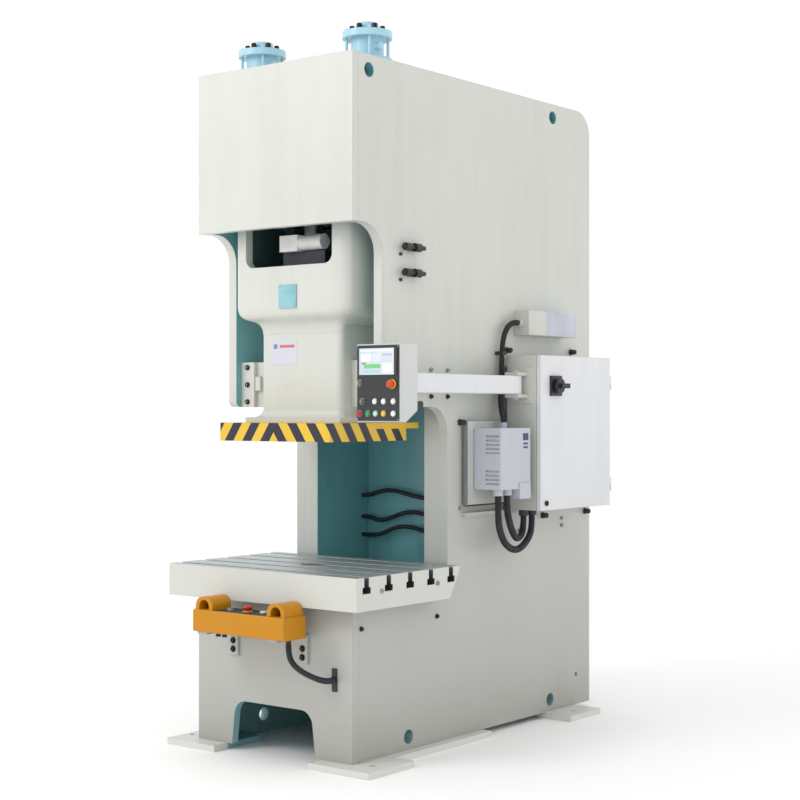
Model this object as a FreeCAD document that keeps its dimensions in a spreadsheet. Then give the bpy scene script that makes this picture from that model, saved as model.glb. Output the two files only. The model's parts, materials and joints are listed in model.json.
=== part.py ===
import FreeCAD, Part
import Sketcher
import math
import os
import re

# Single-point C-frame stamping press, millimetres, +Z up, -Y is the operator's side.
# The origin is the centre of the four foot bolts, at floor level. A few texts below say
# "front_y + d": d is then measured back from the front face of the frame.

SIZES = [
    # frame weldment
    ("frame_width", 956), ("frame_depth", 2000), ("frame_top", 3195), ("side_wall", 48),
    ("front_wall", 40), ("top_wall", 30), ("inner_wall", 25), ("crown_bottom", 2440),
    ("crown_curve", 130), ("corner_curve", 125), ("recess", 208), ("throat_depth", 707),
    ("throat_top", 1614), ("throat_curve", 120), ("bed_top", 719), ("bed_thick", 80),
    ("niche_half", 340), ("niche_back", 1118), ("column_top", 2200), ("lift_hole", 33),
    ("arch_half", 262), ("arch_top", 238), ("arch_curve", 70),
    # feet
    ("foot_thick", 30), ("foot_inner", 290), ("foot_outer", 640), ("left_foot_outer", 602), ("foot_front", 87),
    ("foot_length", 323), ("rail_end", 1000), ("anchor_pitch_x", 1120), ("anchor_pitch_y", 1660),
    ("anchor_setback", 40), ("anchor_hole", 15), ("rail_outer", 530),
    # tool area
    ("tool_centre", 285), ("bolster_width", 1160), ("bolster_depth", 760),
    ("bolster_thick", 149), ("slot_pitch", 156), ("slot_neck", 32), ("slot_foot", 56),
    ("slot_depth", 72), ("slot_foot_high", 28), ("slug_hole", 60),
    # slide, top dead centre
    ("stroke", 160), ("slide_bottom", 1455), ("pad_thick", 85), ("pad_width", 680),
    ("pad_depth", 560), ("ledge_thick", 28), ("ledge_long", 95), ("shank_hole", 32.5),
    ("trunk_half", 250), ("trunk_front", 190), ("trunk_back", 560), ("head_half", 350),
    ("head_front", 105), ("head_back", 425), ("head_bottom", 2090), ("head_blend", 130),
    ("slide_top", 2480), ("head_curve", 50), ("trunk_curve", 30), ("window_half", 268),
    ("window_bottom", 2272), ("flare", 38), ("slide_wall", 45), ("cavity_bottom", 2180),
    ("fork_half", 375), ("gib_gap", 0.04), ("gib_front", 244), ("gib_high", 217),
    ("gib_step", 22), ("gib_keeper", 84), ("rail_front", 430),
    # drive train
    ("crank_high", 2785), ("journal", 80), ("eccentric", 170), ("strap", 215),
    ("strap_wide", 100), ("rod_bottom", 2560), ("rod_shank", 60), ("open_gap", 24),
    ("run_gap", 0.05), ("bush_wall", 15), ("bearing_wall", 60), ("bearing_front", 148.3),
    ("bearing_back", 480), ("gear_front", 600), ("gear_wide", 100), ("gear_module", 10),
    ("gear_teeth", 72), ("pinion_teeth", 15), ("drive_wall", 740), ("tail_wall", 1640),
    ("pinion_shaft", 45), ("wheel_front", 1400), ("wheel_wide", 160), ("wheel_size", 380),
    ("motor_high", 1640), ("motor_size", 130), ("pulley", 80), ("belt_thick", 12),
    # balance cylinders
    ("balance_x", 330), ("balance_shell", 76), ("balance_bore", 62), ("balance_rod", 18),
    ("balance_bottom", 2990), ("balance_over", 115), ("balance_cap", 115),
    # side equipment
    ("cabinet_gap", 30), ("cabinet_deep", 175), ("cabinet_front", 1168),
    ("cabinet_wide", 662), ("cabinet_bottom", 1104), ("cabinet_high", 765),
    ("sheet_wall", 3), ("door_thick", 25), ("door_gap", 2), ("hinge_pin", 5),
    ("panel_front", 824), ("panel_wide", 326), ("panel_bottom", 1142), ("panel_high", 403),
    ("drive_front", 870), ("drive_wide", 257), ("drive_bottom", 1216), ("drive_high", 296),
    ("drive_deep", 163), ("junction_front", 1275), ("junction_wide", 441),
    ("junction_bottom", 1975), ("junction_high", 125), ("junction_deep", 90),
    # hanging arm and operator panel
    ("arm_x", 598), ("arm_size", 90), ("arm_wall", 5), ("arm_high", 1722),
    ("arm_front", 200), ("arm_back", 1079), ("arm_pivot", 1110), ("arm_pin", 15),
    ("swivel", 162), ("swivel_pin", 12), ("panel_x", 621), ("panel_box", 246),
    ("panel_box_high", 343), ("panel_box_deep", 124), ("panel_centre", 1718),
    # two-hand station
    ("station_width", 560), ("station_back", 89), ("station_deep", 146),
    ("station_bottom", 583), ("station_high", 103), ("guard_wide", 118),
    ("guard_high", 58), ("palm_size", 22), ("button_gap", 0.4),
]

doc = FreeCAD.newDocument("StampingPress")
sheet = doc.addObject("Spreadsheet::Sheet", "Sizes")
for row, (name, amount) in enumerate(SIZES, start=1):
    sheet.set("A%d" % row, name)
    sheet.set("B%d" % row, str(amount))
    sheet.setAlias("B%d" % row, name)
derived = len(SIZES) + 1
sheet.set("A%d" % derived, "front_y")
sheet.set("B%d" % derived, "=-(anchor_pitch_y / 2 + anchor_setback)")
sheet.setAlias("B%d" % derived, "front_y")
doc.recompute()

NAMES = {name for name, amount in SIZES} | {"front_y"}
NODES = {}


def size(name):
    """The value of one cell."""
    return float(sheet.get(name))


def formula(text):
    """An expression text with every size name pointed at its cell."""
    def to_cell(match):
        word = match.group(0)
        return "Sizes." + word if word in NAMES else word
    return re.sub(r"[a-z][a-z_]*", to_cell, str(text))


def bind(item, **texts):
    """Bind properties of a document object to expressions of sizes."""
    for prop, text in texts.items():
        item.setExpression(prop.replace("__", "."), formula(text))
    return item


def back(distance):
    """A y place, given as a distance behind the frame's front face."""
    return "front_y + (%s)" % distance


def minus(text):
    return "-(%s)" % text


def block(x, y, z):
    """A box between the two ends given for each axis."""
    item = doc.addObject("Part::Box", "Block")
    bind(item, Length="(%s) - (%s)" % (x[1], x[0]), Width="(%s) - (%s)" % (y[1], y[0]),
         Height="(%s) - (%s)" % (z[1], z[0]))
    return bind(item, Placement__Base__x=x[0], Placement__Base__y=y[0],
                Placement__Base__z=z[0])


AXIS_TURN = {
    "x": FreeCAD.Rotation(FreeCAD.Vector(0, 1, 0), 90),
    "y": FreeCAD.Rotation(FreeCAD.Vector(1, 0, 0), -90),
    "z": FreeCAD.Rotation(),
}


def cylinder(axis, radius, start, end, x=0, y=0, z=0):
    """A cylinder along an axis from start to end; the other two places are its centre."""
    item = doc.addObject("Part::Cylinder", "Round")
    item.Placement.Rotation = AXIS_TURN[axis]
    bind(item, Radius=radius, Height="(%s) - (%s)" % (end, start))
    place = {"x": x, "y": y, "z": z, axis: start}
    return bind(item, Placement__Base__x=place["x"], Placement__Base__y=place["y"],
                Placement__Base__z=place["z"])


def fuse(*items):
    item = doc.addObject("Part::MultiFuse", "Joined")
    item.Shapes = list(items)
    item.Refine = True
    return item


def group(*items):
    """Separate solids kept together in one node."""
    item = doc.addObject("Part::Compound", "Group")
    item.Links = list(items)
    return item


def cut(base, *tools):
    item = doc.addObject("Part::Cut", "Trimmed")
    item.Base = base
    item.Tool = tools[0] if len(tools) == 1 else fuse(*tools)
    item.Refine = True
    return item


def edge_line(edge):
    """Direction and middle of a straight edge, or None for a curved one."""
    if edge.Curve.TypeId != "Part::GeomLine":
        return None
    start, end = edge.Vertexes[0].Point, edge.Vertexes[-1].Point
    return (end - start).normalize(), (start + end) * 0.5


def soften(item, radius, along, keep=lambda middle: True, kind="Part::Fillet"):
    """Round or chamfer the straight edges along one axis whose middle passes keep."""
    doc.recompute()
    axis = "xyz".index(along)
    picked = []
    for number, edge in enumerate(item.Shape.Edges, start=1):
        line = edge_line(edge)
        if line and abs(line[0][axis]) > 0.999 and keep(line[1]):
            picked.append((number, radius, radius))
    result = doc.addObject(kind, "Softened")
    result.Base = item
    result.Edges = picked
    return result


def node(name, item):
    """Name a finished sub-part."""
    item.Label = name
    NODES[name] = item
    return item


def pair(make):
    """The left and the right one of a pair as one group; make gets -1 or 1."""
    return group(make(-1), make(1))


def span(side, inner, outer):
    """The two x ends of something between inner and outer, on one side."""
    if side > 0:
        return (inner, outer)
    return (minus(outer), minus(inner))


# ---------------------------------------------------------------- sketched bodies

def new_body(name):
    body = doc.addObject("PartDesign::Body", name.title().replace("_", ""))
    node(name, body)
    return body


def origin_plane(body, role):
    for feature in body.Origin.OriginFeatures:
        if feature.Role == role:
            return feature


def new_sketch(body, role, offset):
    """A sketch on one of the body's own origin planes, moved along its normal."""
    sketch = body.newObject("Sketcher::SketchObject", "Outline")
    sketch.AttachmentSupport = [(origin_plane(body, role), "")]
    sketch.MapMode = "FlatFace"
    return bind(sketch, AttachmentOffset__Base__z=offset)


def draw_polygon(sketch, corners):
    """A closed outline whose every corner is dimensioned from the origin."""
    count = len(corners)
    doc.recompute()
    places = [tuple(probe(text) for text in corner) for corner in corners]
    for i in range(count):
        start, end = places[i], places[(i + 1) % count]
        sketch.addGeometry(Part.LineSegment(FreeCAD.Vector(*start, 0), FreeCAD.Vector(*end, 0)))
    for i in range(count):
        sketch.addConstraint(Sketcher.Constraint("Coincident", i, 2, (i + 1) % count, 1))
    for i, corner in enumerate(corners):
        for kind, text, value in zip(("DistanceX", "DistanceY"), corner, places[i]):
            which = sketch.addConstraint(Sketcher.Constraint(kind, -1, 1, i, 1, value))
            sketch.setExpression("Constraints[%d]" % which, formula(text))


def draw_circle(sketch, radius, across, up):
    place = FreeCAD.Vector(probe(across), probe(up), 0)
    ring = sketch.addGeometry(Part.Circle(place, FreeCAD.Vector(0, 0, 1), probe(radius)))
    for kind, text, value in (("DistanceX", across, place.x), ("DistanceY", up, place.y)):
        which = sketch.addConstraint(Sketcher.Constraint(kind, -1, 1, ring, 3, value))
        sketch.setExpression("Constraints[%d]" % which, formula(text))
    which = sketch.addConstraint(Sketcher.Constraint("Radius", ring, probe(radius)))
    sketch.setExpression("Constraints[%d]" % which, formula(radius))


probe_cell = "D1"
sheet.set(probe_cell, "0")
sheet.setAlias(probe_cell, "probe_value")


def probe(text):
    """The number that an expression text stands for."""
    sheet.set(probe_cell, "=" + str(text))
    doc.recompute([sheet])
    return float(sheet.get("probe_value"))


def pad(body, sketch, length, reversed_way=False):
    feature = body.newObject("PartDesign::Pad", "Pad")
    feature.Profile = sketch
    feature.Reversed = reversed_way
    return bind(feature, Length=length)


def pocket(body, sketch, length, reversed_way=False):
    feature = body.newObject("PartDesign::Pocket", "Pocket")
    feature.Profile = sketch
    feature.Reversed = reversed_way
    return bind(feature, Length=length)


def body_fillet(body, radius, along, keep):
    """Fillet the body's straight edges along one axis whose middle passes keep."""
    doc.recompute()
    axis = "xyz".index(along)
    picked = []
    for number, edge in enumerate(body.Tip.Shape.Edges, start=1):
        line = edge_line(edge)
        if line and abs(line[0][axis]) > 0.999 and keep(line[1]):
            picked.append("Edge%d" % number)
    feature = body.newObject("PartDesign::Fillet", "Fillet")
    feature.Base = (body.Tip if body.Tip != feature else feature.BaseFeature, picked)
    return bind(feature, Radius=radius)


def near(y, z):
    """Picks edges along x that run through one place."""
    place = (probe(y), probe(z))
    return lambda middle: math.hypot(middle.y - place[0], middle.z - place[1]) < 2


# ---------------------------------------------------------------- frame

def side_plate(side):
    """One C-shaped side plate, with its lifting and transport holes."""
    word = "left" if side < 0 else "right"
    body = new_body("side_plate_" + word)
    inner = "frame_width / 2 - side_wall"
    start = inner if side > 0 else "-frame_width / 2"
    sketch = new_sketch(body, "YZ_Plane", start)
    front, rear = back("front_wall"), back("frame_depth")
    draw_polygon(sketch, [
        (front, "foot_thick"), (rear, "foot_thick"), (rear, "frame_top"),
        (front, "frame_top"), (front, "crown_bottom"), (back("recess"), "crown_bottom"),
        (back("recess"), "throat_top"), (back("throat_depth"), "throat_top"),
        (back("throat_depth"), "bed_top"), (front, "bed_top")])
    pad(body, sketch, "side_wall")
    rounds = (
        ("corner_curve", near(rear, "frame_top")),
        ("crown_curve", near(back("recess"), "crown_bottom")),
        ("throat_curve", near(back("throat_depth"), "throat_top")),
        ("foot_thick", near(back("throat_depth"), "bed_top")),
        ("foot_thick", near(back("recess"), "throat_top")))
    for radius, keep in rounds:
        body_fillet(body, radius, "x", keep)
    holes = new_sketch(body, "YZ_Plane", start)
    for across, up, radius in (
            ("115", "frame_top - 70", "lift_hole"), ("frame_depth - 365", "frame_top - 70", "lift_hole"),
            ("405", "90", "lift_hole"), ("frame_depth - 390", "90", "lift_hole"),
            ("frame_depth - 135", "190", "11")):
        draw_circle(holes, radius, back(across), up)
    pocket(body, holes, "side_wall", True)
    doc.recompute()


for side in (-1, 1):
    side_plate(side)


def front_plate(name, bottom, top):
    """A full-width plate on the frame's front face."""
    body = new_body(name)
    sketch = new_sketch(body, "XZ_Plane", minus("front_y"))
    half = "frame_width / 2"
    draw_polygon(sketch, [(minus(half), bottom), (half, bottom), (half, top), (minus(half), top)])
    pad(body, sketch, "front_wall", True)
    return body


front_plate("crown_front", "crown_bottom", "frame_top")
base_front = front_plate("base_front", "foot_thick", "bed_top")
arch = new_sketch(base_front, "XZ_Plane", minus("front_y"))
draw_polygon(arch, [
    ("-arch_half", "0"), ("arch_half", "0"), ("arch_half - 27", "arch_top"),
    ("27 - arch_half", "arch_top")])
pocket(base_front, arch, "front_wall")
doc.recompute()
body_fillet(base_front, "arch_curve", "y", lambda middle: abs(middle.z - size("arch_top")) < 2)

inside = "frame_width / 2 - side_wall"


def top_plate():
    plate = block((minus(inside), inside), (back("front_wall"), back("frame_depth - corner_curve")),
                  ("frame_top - top_wall", "frame_top"))
    holes = [cylinder("z", "balance_shell + 0.3", "frame_top - top_wall - 1", "frame_top + 1",
                      x=minus("balance_x") if side < 0 else "balance_x",
                      y=back("tool_centre")) for side in (-1, 1)]
    return cut(plate, *holes)


def rear_cover():
    """The back plate, rolled over the top corner to meet the top plate."""
    lower = block((minus(inside), inside), (back("frame_depth - top_wall"), back("frame_depth")),
                  ("foot_thick + 70", "frame_top - corner_curve"))
    roll = [cylinder("x", radius, minus(inside), inside, y=back("frame_depth - corner_curve"),
                     z="frame_top - corner_curve")
            for radius in ("corner_curve", "corner_curve - top_wall")]
    quarter = block((minus(inside), inside), (back("frame_depth - corner_curve"), back("frame_depth")),
                    ("frame_top - corner_curve", "frame_top"))
    shell = cut(roll[0], roll[1])
    bend = doc.addObject("Part::Common", "Bend")
    bend.Base, bend.Tool = shell, quarter
    return fuse(lower, bend)


node("roof", group(top_plate(), rear_cover()))


def column(side):
    """The box column beside the throat: front flange and inner web."""
    flange = block(span(side, "niche_half", inside),
                   (back("throat_depth"), back("throat_depth + 40")), ("bed_top", "column_top"))
    web = block(span(side, "niche_half", "niche_half + inner_wall"),
                (back("throat_depth + 40"), back("niche_back")), ("bed_top", "column_top"))
    return fuse(flange, web)


node("throat_box", group(pair(column), block(
    (minus(inside), inside), (back("niche_back"), back("niche_back + inner_wall")),
    ("bed_top", "column_top"))))


def bed_plate():
    plate = block((minus(inside), inside), (back("front_wall"), back("niche_back + inner_wall")),
                  ("bed_top - bed_thick", "bed_top"))
    slug = cylinder("z", "slug_hole + 15", "bed_top - bed_thick - 1", "bed_top + 1",
                    y=back("tool_centre"))
    return cut(plate, slug)


node("bed_plate", bed_plate())


def shoe(side):
    """Front foot with the sole rail behind it, and a separate rear foot; the left feet stand out less."""
    foot_x = span(side, "foot_inner", "foot_outer" if side > 0 else "left_foot_outer")
    front_foot = block(foot_x, (back("-foot_front"), back("foot_length - foot_front")),
                       ("0", "foot_thick"))
    rear = "anchor_pitch_y + anchor_setback"
    rear_foot = block(foot_x, (back(rear + " - 145"), back(rear + " + 145")), ("0", "foot_thick"))
    rail = block(span(side, inside, "rail_outer"),
                 (back("foot_length - foot_front"), back("rail_end")), ("0", "foot_thick"))
    x = "anchor_pitch_x / 2" if side > 0 else "-anchor_pitch_x / 2"
    holes = [cylinder("z", "anchor_hole", "-1", "foot_thick + 1", x=x, y=y)
             for y in ("-anchor_pitch_y / 2", "anchor_pitch_y / 2")]
    return group(cut(fuse(front_foot, rail), holes[0]), cut(rear_foot, holes[1]))


node("shoes", pair(shoe))

# ---------------------------------------------------------------- bolster

def bolster():
    """The tool plate: cast rear taper, five T-slots across it and a slug hole."""
    body = new_body("bolster")
    half = "bolster_width / 2"
    sketch = new_sketch(body, "YZ_Plane", minus(half))
    front = back("tool_centre - bolster_depth / 2")
    rear = "tool_centre + bolster_depth / 2"
    top = "bed_top + bolster_thick"
    draw_polygon(sketch, [(front, "bed_top"), (back(rear + " - 75"), "bed_top"),
                          (back(rear), top + " - 25"), (back(rear), top), (front, top)])
    pad(body, sketch, "bolster_width")
    for index in range(5):
        centre = back("tool_centre + slot_pitch * %d" % (index - 2))
        slot = new_sketch(body, "YZ_Plane", minus(half))
        neck, foot = "slot_neck / 2", "slot_foot / 2"
        shoulder = top + " - slot_depth + slot_foot_high"
        draw_polygon(slot, [
            (centre + " - " + neck, top + " + 1"), (centre + " - " + neck, shoulder),
            (centre + " - " + foot, shoulder), (centre + " - " + foot, top + " - slot_depth"),
            (centre + " + " + foot, top + " - slot_depth"), (centre + " + " + foot, shoulder),
            (centre + " + " + neck, shoulder), (centre + " + " + neck, top + " + 1")])
        pocket(body, slot, "bolster_width", True)
    hole = new_sketch(body, "XY_Plane", "bed_top")
    draw_circle(hole, "slug_hole", "0", back("tool_centre"))
    pocket(body, hole, "bolster_thick", True)
    doc.recompute()


bolster()

# ---------------------------------------------------------------- crown walls

def bearing_plate(start, bottom, top, *holes):
    plate = block((minus(inside), inside), (back(start), back(start + " + bearing_wall")), (bottom, top))
    tools = [cylinder("y", radius, back(start + " - 1"), back(start + " + bearing_wall + 1"), z=high)
             for radius, high in holes]
    return cut(plate, *tools)


pinion_high = "crank_high - gear_module * (gear_teeth + pinion_teeth) / 2"
crown_floor = "slide_top + 20"
crown_roof = "frame_top - top_wall"
bush = "journal + run_gap + bush_wall"

def ring(axis, outer, inner, start, end, **place):
    return cut(cylinder(axis, outer, start, end, **place),
               cylinder(axis, inner, start + " - 1", end + " + 1", **place))


def cross_walls():
    """The four walls that carry the crank and the pinion shaft, with the crank's bushes."""
    crank_bore = (bush, "crank_high")
    shaft_bore = ("pinion_shaft + run_gap", pinion_high)
    walls = [bearing_plate("bearing_front", crown_floor, crown_roof, crank_bore),
             bearing_plate("bearing_back", crown_floor, crown_roof, crank_bore),
             bearing_plate("drive_wall", "column_top", crown_roof, crank_bore, shaft_bore),
             bearing_plate("tail_wall", pinion_high + " - 150", pinion_high + " + 150", shaft_bore)]
    bushes = [ring("y", bush, "journal + run_gap", back(start), back(start + " + bearing_wall"),
                   z="crank_high")
              for start in ("bearing_front", "bearing_back", "drive_wall")]
    return group(*walls, *bushes)


node("cross_walls", cross_walls())

# ---------------------------------------------------------------- crank, gears, rod

tool_y = back("tool_centre")
throw = "stroke / 2"


def crankshaft():
    shaft = cylinder("y", "journal", back("bearing_front - 20"), back("drive_wall + bearing_wall + 10"),
                     z="crank_high")
    lobe = cylinder("y", "eccentric", tool_y + " - strap_wide / 2 - 5",
                    tool_y + " + strap_wide / 2 + 5", z="crank_high + " + throw)
    return fuse(shaft, lobe)


node("crankshaft", crankshaft())


def connecting_rod():
    """The strap on the eccentric and the shank above the adjusting screw."""
    centre = "crank_high + " + throw
    start, end = tool_y + " - strap_wide / 2", tool_y + " + strap_wide / 2"
    strap = cylinder("y", "strap", start, end, z=centre)
    shank = cylinder("z", "rod_shank", "rod_bottom", centre + " - eccentric", y=tool_y)
    hole = cylinder("y", "eccentric + run_gap", start + " - 1", end + " + 1", z=centre)
    return cut(fuse(strap, shank), hole)


node("connecting_rod", connecting_rod())


def involute_tooth(module, teeth, points=6):
    """The closed outline of a spur gear with involute flanks, tooth 0 centred on +X."""
    pitch = module * teeth / 2
    base, tip, root = pitch * math.cos(math.radians(20)), pitch + module, pitch - 1.25 * module
    spread = math.tan(math.radians(20)) - math.radians(20)
    half_tooth = math.pi / (2 * teeth) + spread - 0.03 / pitch
    first = max(base, root)
    flank = []
    for i in range(points):
        radius = first + (tip - first) * i / (points - 1)
        roll = math.acos(min(1, base / radius))
        flank.append((radius, half_tooth - (math.tan(roll) - roll)))
    side = [(root, flank[0][1])] + flank if root < first else flank
    return side + [(radius, -angle) for radius, angle in reversed(side)]


def gear_wire(module, teeth, turn):
    corners = []
    for tooth in range(int(teeth)):
        middle = 2 * math.pi * tooth / teeth + turn
        for radius, angle in reversed(involute_tooth(module, teeth)):
            corners.append(FreeCAD.Vector(radius * math.cos(middle + angle), 0,
                                          radius * math.sin(middle + angle)))
    return Part.makePolygon(corners + corners[:1])


def gear_solid(teeth, turn, bore, start, length, high):
    """A spur gear about the y axis."""
    blank = Part.Face(gear_wire(size("gear_module"), teeth, turn))
    solid = blank.extrude(FreeCAD.Vector(0, length, 0))
    solid.translate(FreeCAD.Vector(0, start, high))
    if bore:
        hole = Part.makeCylinder(bore, length + 2, FreeCAD.Vector(0, start - 1, high),
                                 FreeCAD.Vector(0, 1, 0))
        solid = solid.cut(hole)
    return solid


def main_gear():
    """The large gear: toothed rim, web with six round openings, hub keyed on the crank."""
    start = probe(back("gear_front"))
    wide, high = size("gear_wide"), size("crank_high")
    solid = gear_solid(size("gear_teeth"), -math.pi / 2, size("journal") + size("run_gap"), start, wide, high)
    pitch = size("gear_module") * size("gear_teeth") / 2
    rim, hub = pitch - 45, size("journal") + 45
    along = FreeCAD.Vector(0, 1, 0)
    for place in (start - 1, start + wide * 0.7):
        centre = FreeCAD.Vector(0, place, high)
        groove = Part.makeCylinder(rim, wide * 0.3 + 1, centre, along)
        groove = groove.cut(Part.makeCylinder(hub, wide * 0.3 + 1, centre, along))
        solid = solid.cut(groove)
    for index in range(6):
        turn = math.radians(60 * index)
        reach = (rim + hub) / 2
        centre = FreeCAD.Vector(reach * math.cos(turn), start, high + reach * math.sin(turn))
        solid = solid.cut(Part.makeCylinder(55, wide, centre, along))
    return solid


def feature(name, shape):
    item = doc.addObject("Part::Feature", name.title().replace("_", ""))
    item.Shape = shape
    item.Placement = FreeCAD.Placement()
    return node(name, item)


feature("main_gear", main_gear())


def pinion_shaft():
    """Pinion, its shaft, and the clutch plate beside the flywheel."""
    start = probe(back("gear_front"))
    high = probe(pinion_high)
    teeth = size("pinion_teeth")
    along = FreeCAD.Vector(0, 1, 0)
    gear = gear_solid(teeth, math.pi / 2 - math.pi / teeth, 0, start, size("gear_wide"), high)
    shaft = Part.makeCylinder(size("pinion_shaft"), size("tail_wall") + size("bearing_wall") + 20
                              - size("gear_front"), FreeCAD.Vector(0, start, high), along)
    clutch = Part.makeCylinder(170, 60, FreeCAD.Vector(0, probe(back("wheel_front - 60.5")), high), along)
    return gear.fuse([shaft, clutch]).removeSplitter()


feature("pinion_shaft", pinion_shaft())


def flywheel():
    start, end = back("wheel_front"), back("wheel_front + wheel_wide")
    disc = cylinder("y", "wheel_size", start, end, z=pinion_high)
    bore = cylinder("y", "pinion_shaft + run_gap", start + " - 1", end + " + 1", z=pinion_high)
    hollow = ring("y", "wheel_size - 70", "pinion_shaft + 60", start + " + 50", end + " + 1",
                  z=pinion_high)
    return cut(disc, bore, hollow)


node("flywheel", flywheel())


def motor():
    """Motor shell with its feet on the shelf across the frame."""
    start = back("wheel_front + wheel_wide + 20")
    shell = cylinder("y", "motor_size", start, start + " + 300", z="motor_high")
    foot = block(("-110", "110"), (start + " + 40", start + " + 260"),
                 ("motor_high - motor_size - 20", "motor_high - 60"))
    shelf = block((minus(inside), inside),
                  (back("niche_back + inner_wall"), back("frame_depth - top_wall")),
                  ("motor_high - motor_size - 50", "motor_high - motor_size - 20"))
    shaft_hole = cylinder("y", "24 + run_gap", start + " - 1", start + " + 60", z="motor_high")
    return cut(fuse(shell, foot, shelf), shaft_hole)


node("motor", motor())


def motor_pulley():
    start = back("wheel_front")
    wheel = cylinder("y", "pulley", start + " + 10", start + " + 130", z="motor_high")
    shaft = cylinder("y", "24", start + " + 10", start + " + wheel_wide + 79", z="motor_high")
    return fuse(wheel, shaft)


node("motor_pulley", motor_pulley())


def drive_belt():
    """The belt round flywheel and pulley: two wraps joined by the outer tangents."""
    big, small = size("wheel_size") + 0.5, size("pulley") + 0.5
    high, low = probe(pinion_high), size("motor_high")
    start = probe(back("wheel_front + 20"))

    def loop(extra):
        lean = math.asin((big - small) / (high - low))
        def rim(radius, centre, turn):
            return FreeCAD.Vector(radius * math.cos(turn), start, centre + radius * math.sin(turn))
        large, little = big + extra, small + extra
        corners = [rim(large, high, -lean), rim(large, high, math.pi + lean),
                   rim(little, low, math.pi + lean), rim(little, low, -lean)]
        top = Part.Arc(corners[0], rim(large, high, math.pi / 2), corners[1]).toShape()
        bottom = Part.Arc(corners[2], rim(little, low, -math.pi / 2), corners[3]).toShape()
        sides = [Part.makeLine(corners[1], corners[2]), Part.makeLine(corners[3], corners[0])]
        return Part.Face(Part.Wire([top, sides[0], bottom, sides[1]]))

    band = loop(size("belt_thick")).cut(loop(0))
    return band.extrude(FreeCAD.Vector(0, 90, 0))


feature("drive_belt", drive_belt())

# ---------------------------------------------------------------- slide

def slide_body():
    """Guided trunk, bulged head with notch and cavity, relieved over the gib blocks, and the fork."""
    trunk = block(("-trunk_half", "trunk_half"), (back("trunk_front"), back("trunk_back")),
                  ("slide_bottom + pad_thick", "slide_top"))
    trunk = soften(trunk, size("trunk_curve"), "z",
                   lambda middle: middle.y < probe(back("trunk_front")) + 1)
    head = block(("-head_half", "head_half"), (back("head_front"), back("head_back")),
                 ("head_bottom", "slide_top"))
    head = soften(head, size("head_curve"), "z",
                  lambda middle: middle.y < probe(back("head_front")) + 1)
    fork = block(("-fork_half", "fork_half"), (tool_y + " - 60", tool_y + " + 60"),
                 ("slide_top - 40", "slide_top"))
    flange = block(("-trunk_half - 45", "trunk_half + 45"), (back("trunk_front - 60"), back("trunk_back")),
                   ("slide_bottom + pad_thick", "slide_bottom + pad_thick + 25"))
    front_cavity = block(("-window_half", "window_half"),
                         (back("head_front + slide_wall"), back("head_back - slide_wall")),
                         ("cavity_bottom", "slide_top + 1"))
    rear_cavity = block(("slide_wall - trunk_half", "trunk_half - slide_wall"),
                        (back("head_back - slide_wall - 5"), back("trunk_back - slide_wall")),
                        ("cavity_bottom", "slide_top + 1"))
    notch = block(("-window_half", "window_half"),
                  (back("head_front - 1"), back("head_front + slide_wall + 1")),
                  ("window_bottom", "slide_top + 60"))
    notch = soften(notch, 45, "y")
    seat = cylinder("z", "shank_hole", "slide_bottom + pad_thick - 1", "slide_bottom + pad_thick + 40",
                    y=tool_y)
    reliefs = [block(x, (back("gib_front - 18"), back("head_back + 1")),
                     ("head_bottom - head_blend - 2", "throat_top + gib_high + stroke + 4"))
               for x in (("trunk_half", "head_half + 1"), ("-head_half - 1", "-trunk_half"))]
    return cut(fuse(trunk, head, head_blend(), trunk_flare(), fork, flange),
               front_cavity, rear_cavity, notch, seat, *reliefs)


def plan_outline(half, front, rear, curve, high):
    """A level outline with its two front corners rounded, measured like the frame."""
    y0, y1 = probe(back(front)), probe(back(rear))
    points = [(half, y1), (-half, y1), (-half, y0 + curve), (-half + curve, y0),
              (half - curve, y0), (half, y0 + curve)]
    middle = curve * (1 - math.sqrt(0.5))
    arcs = {2: (-half + middle, y0 + middle), 4: (half - middle, y0 + middle)}
    edges = []
    for i, start in enumerate(points):
        ends = [FreeCAD.Vector(*start, high), FreeCAD.Vector(*points[(i + 1) % 6], high)]
        if i in arcs:
            edges.append(Part.Arc(ends[0], FreeCAD.Vector(*arcs[i], high), ends[1]).toShape())
        else:
            edges.append(Part.makeLine(*ends))
    return Part.Wire(edges)


def lofted(name, outlines):
    item = doc.addObject("Part::Feature", name)
    item.Shape = Part.makeLoft(outlines, True, False)
    return item


def head_blend():
    """The rounded shoulder that carries the head down into the trunk."""
    outlines = []
    for i in range(9):
        part = i / 8
        inset = (1 - math.cos(math.pi * part)) / 2
        drop = size("head_blend") * (part + 0.1 * math.sin(2 * math.pi * part))
        outlines.append(plan_outline(
            size("head_half") + inset * (size("trunk_half") + 1 - size("head_half")),
            size("head_front") + inset * (size("trunk_front") - 1 - size("head_front")),
            size("head_back"),
            size("head_curve") + inset * (size("trunk_curve") - size("head_curve")),
            size("head_bottom") - drop))
    return lofted("HeadBlend", outlines)


def trunk_flare():
    """The rounded foot of the trunk, down to its flange."""
    outlines = []
    foot = size("slide_bottom") + size("pad_thick") + 24
    for i in range(6):
        angle = math.pi / 2 * i / 5
        spread = 1 + size("flare") * (1 - math.cos(angle))
        outlines.append(plan_outline(size("trunk_half") + spread, size("trunk_front") - spread,
                                     size("trunk_back"), size("trunk_curve"),
                                     foot + size("flare") * (1 - math.sin(angle))))
    return lofted("TrunkFlare", outlines)


node("slide_body", slide_body())


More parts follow.
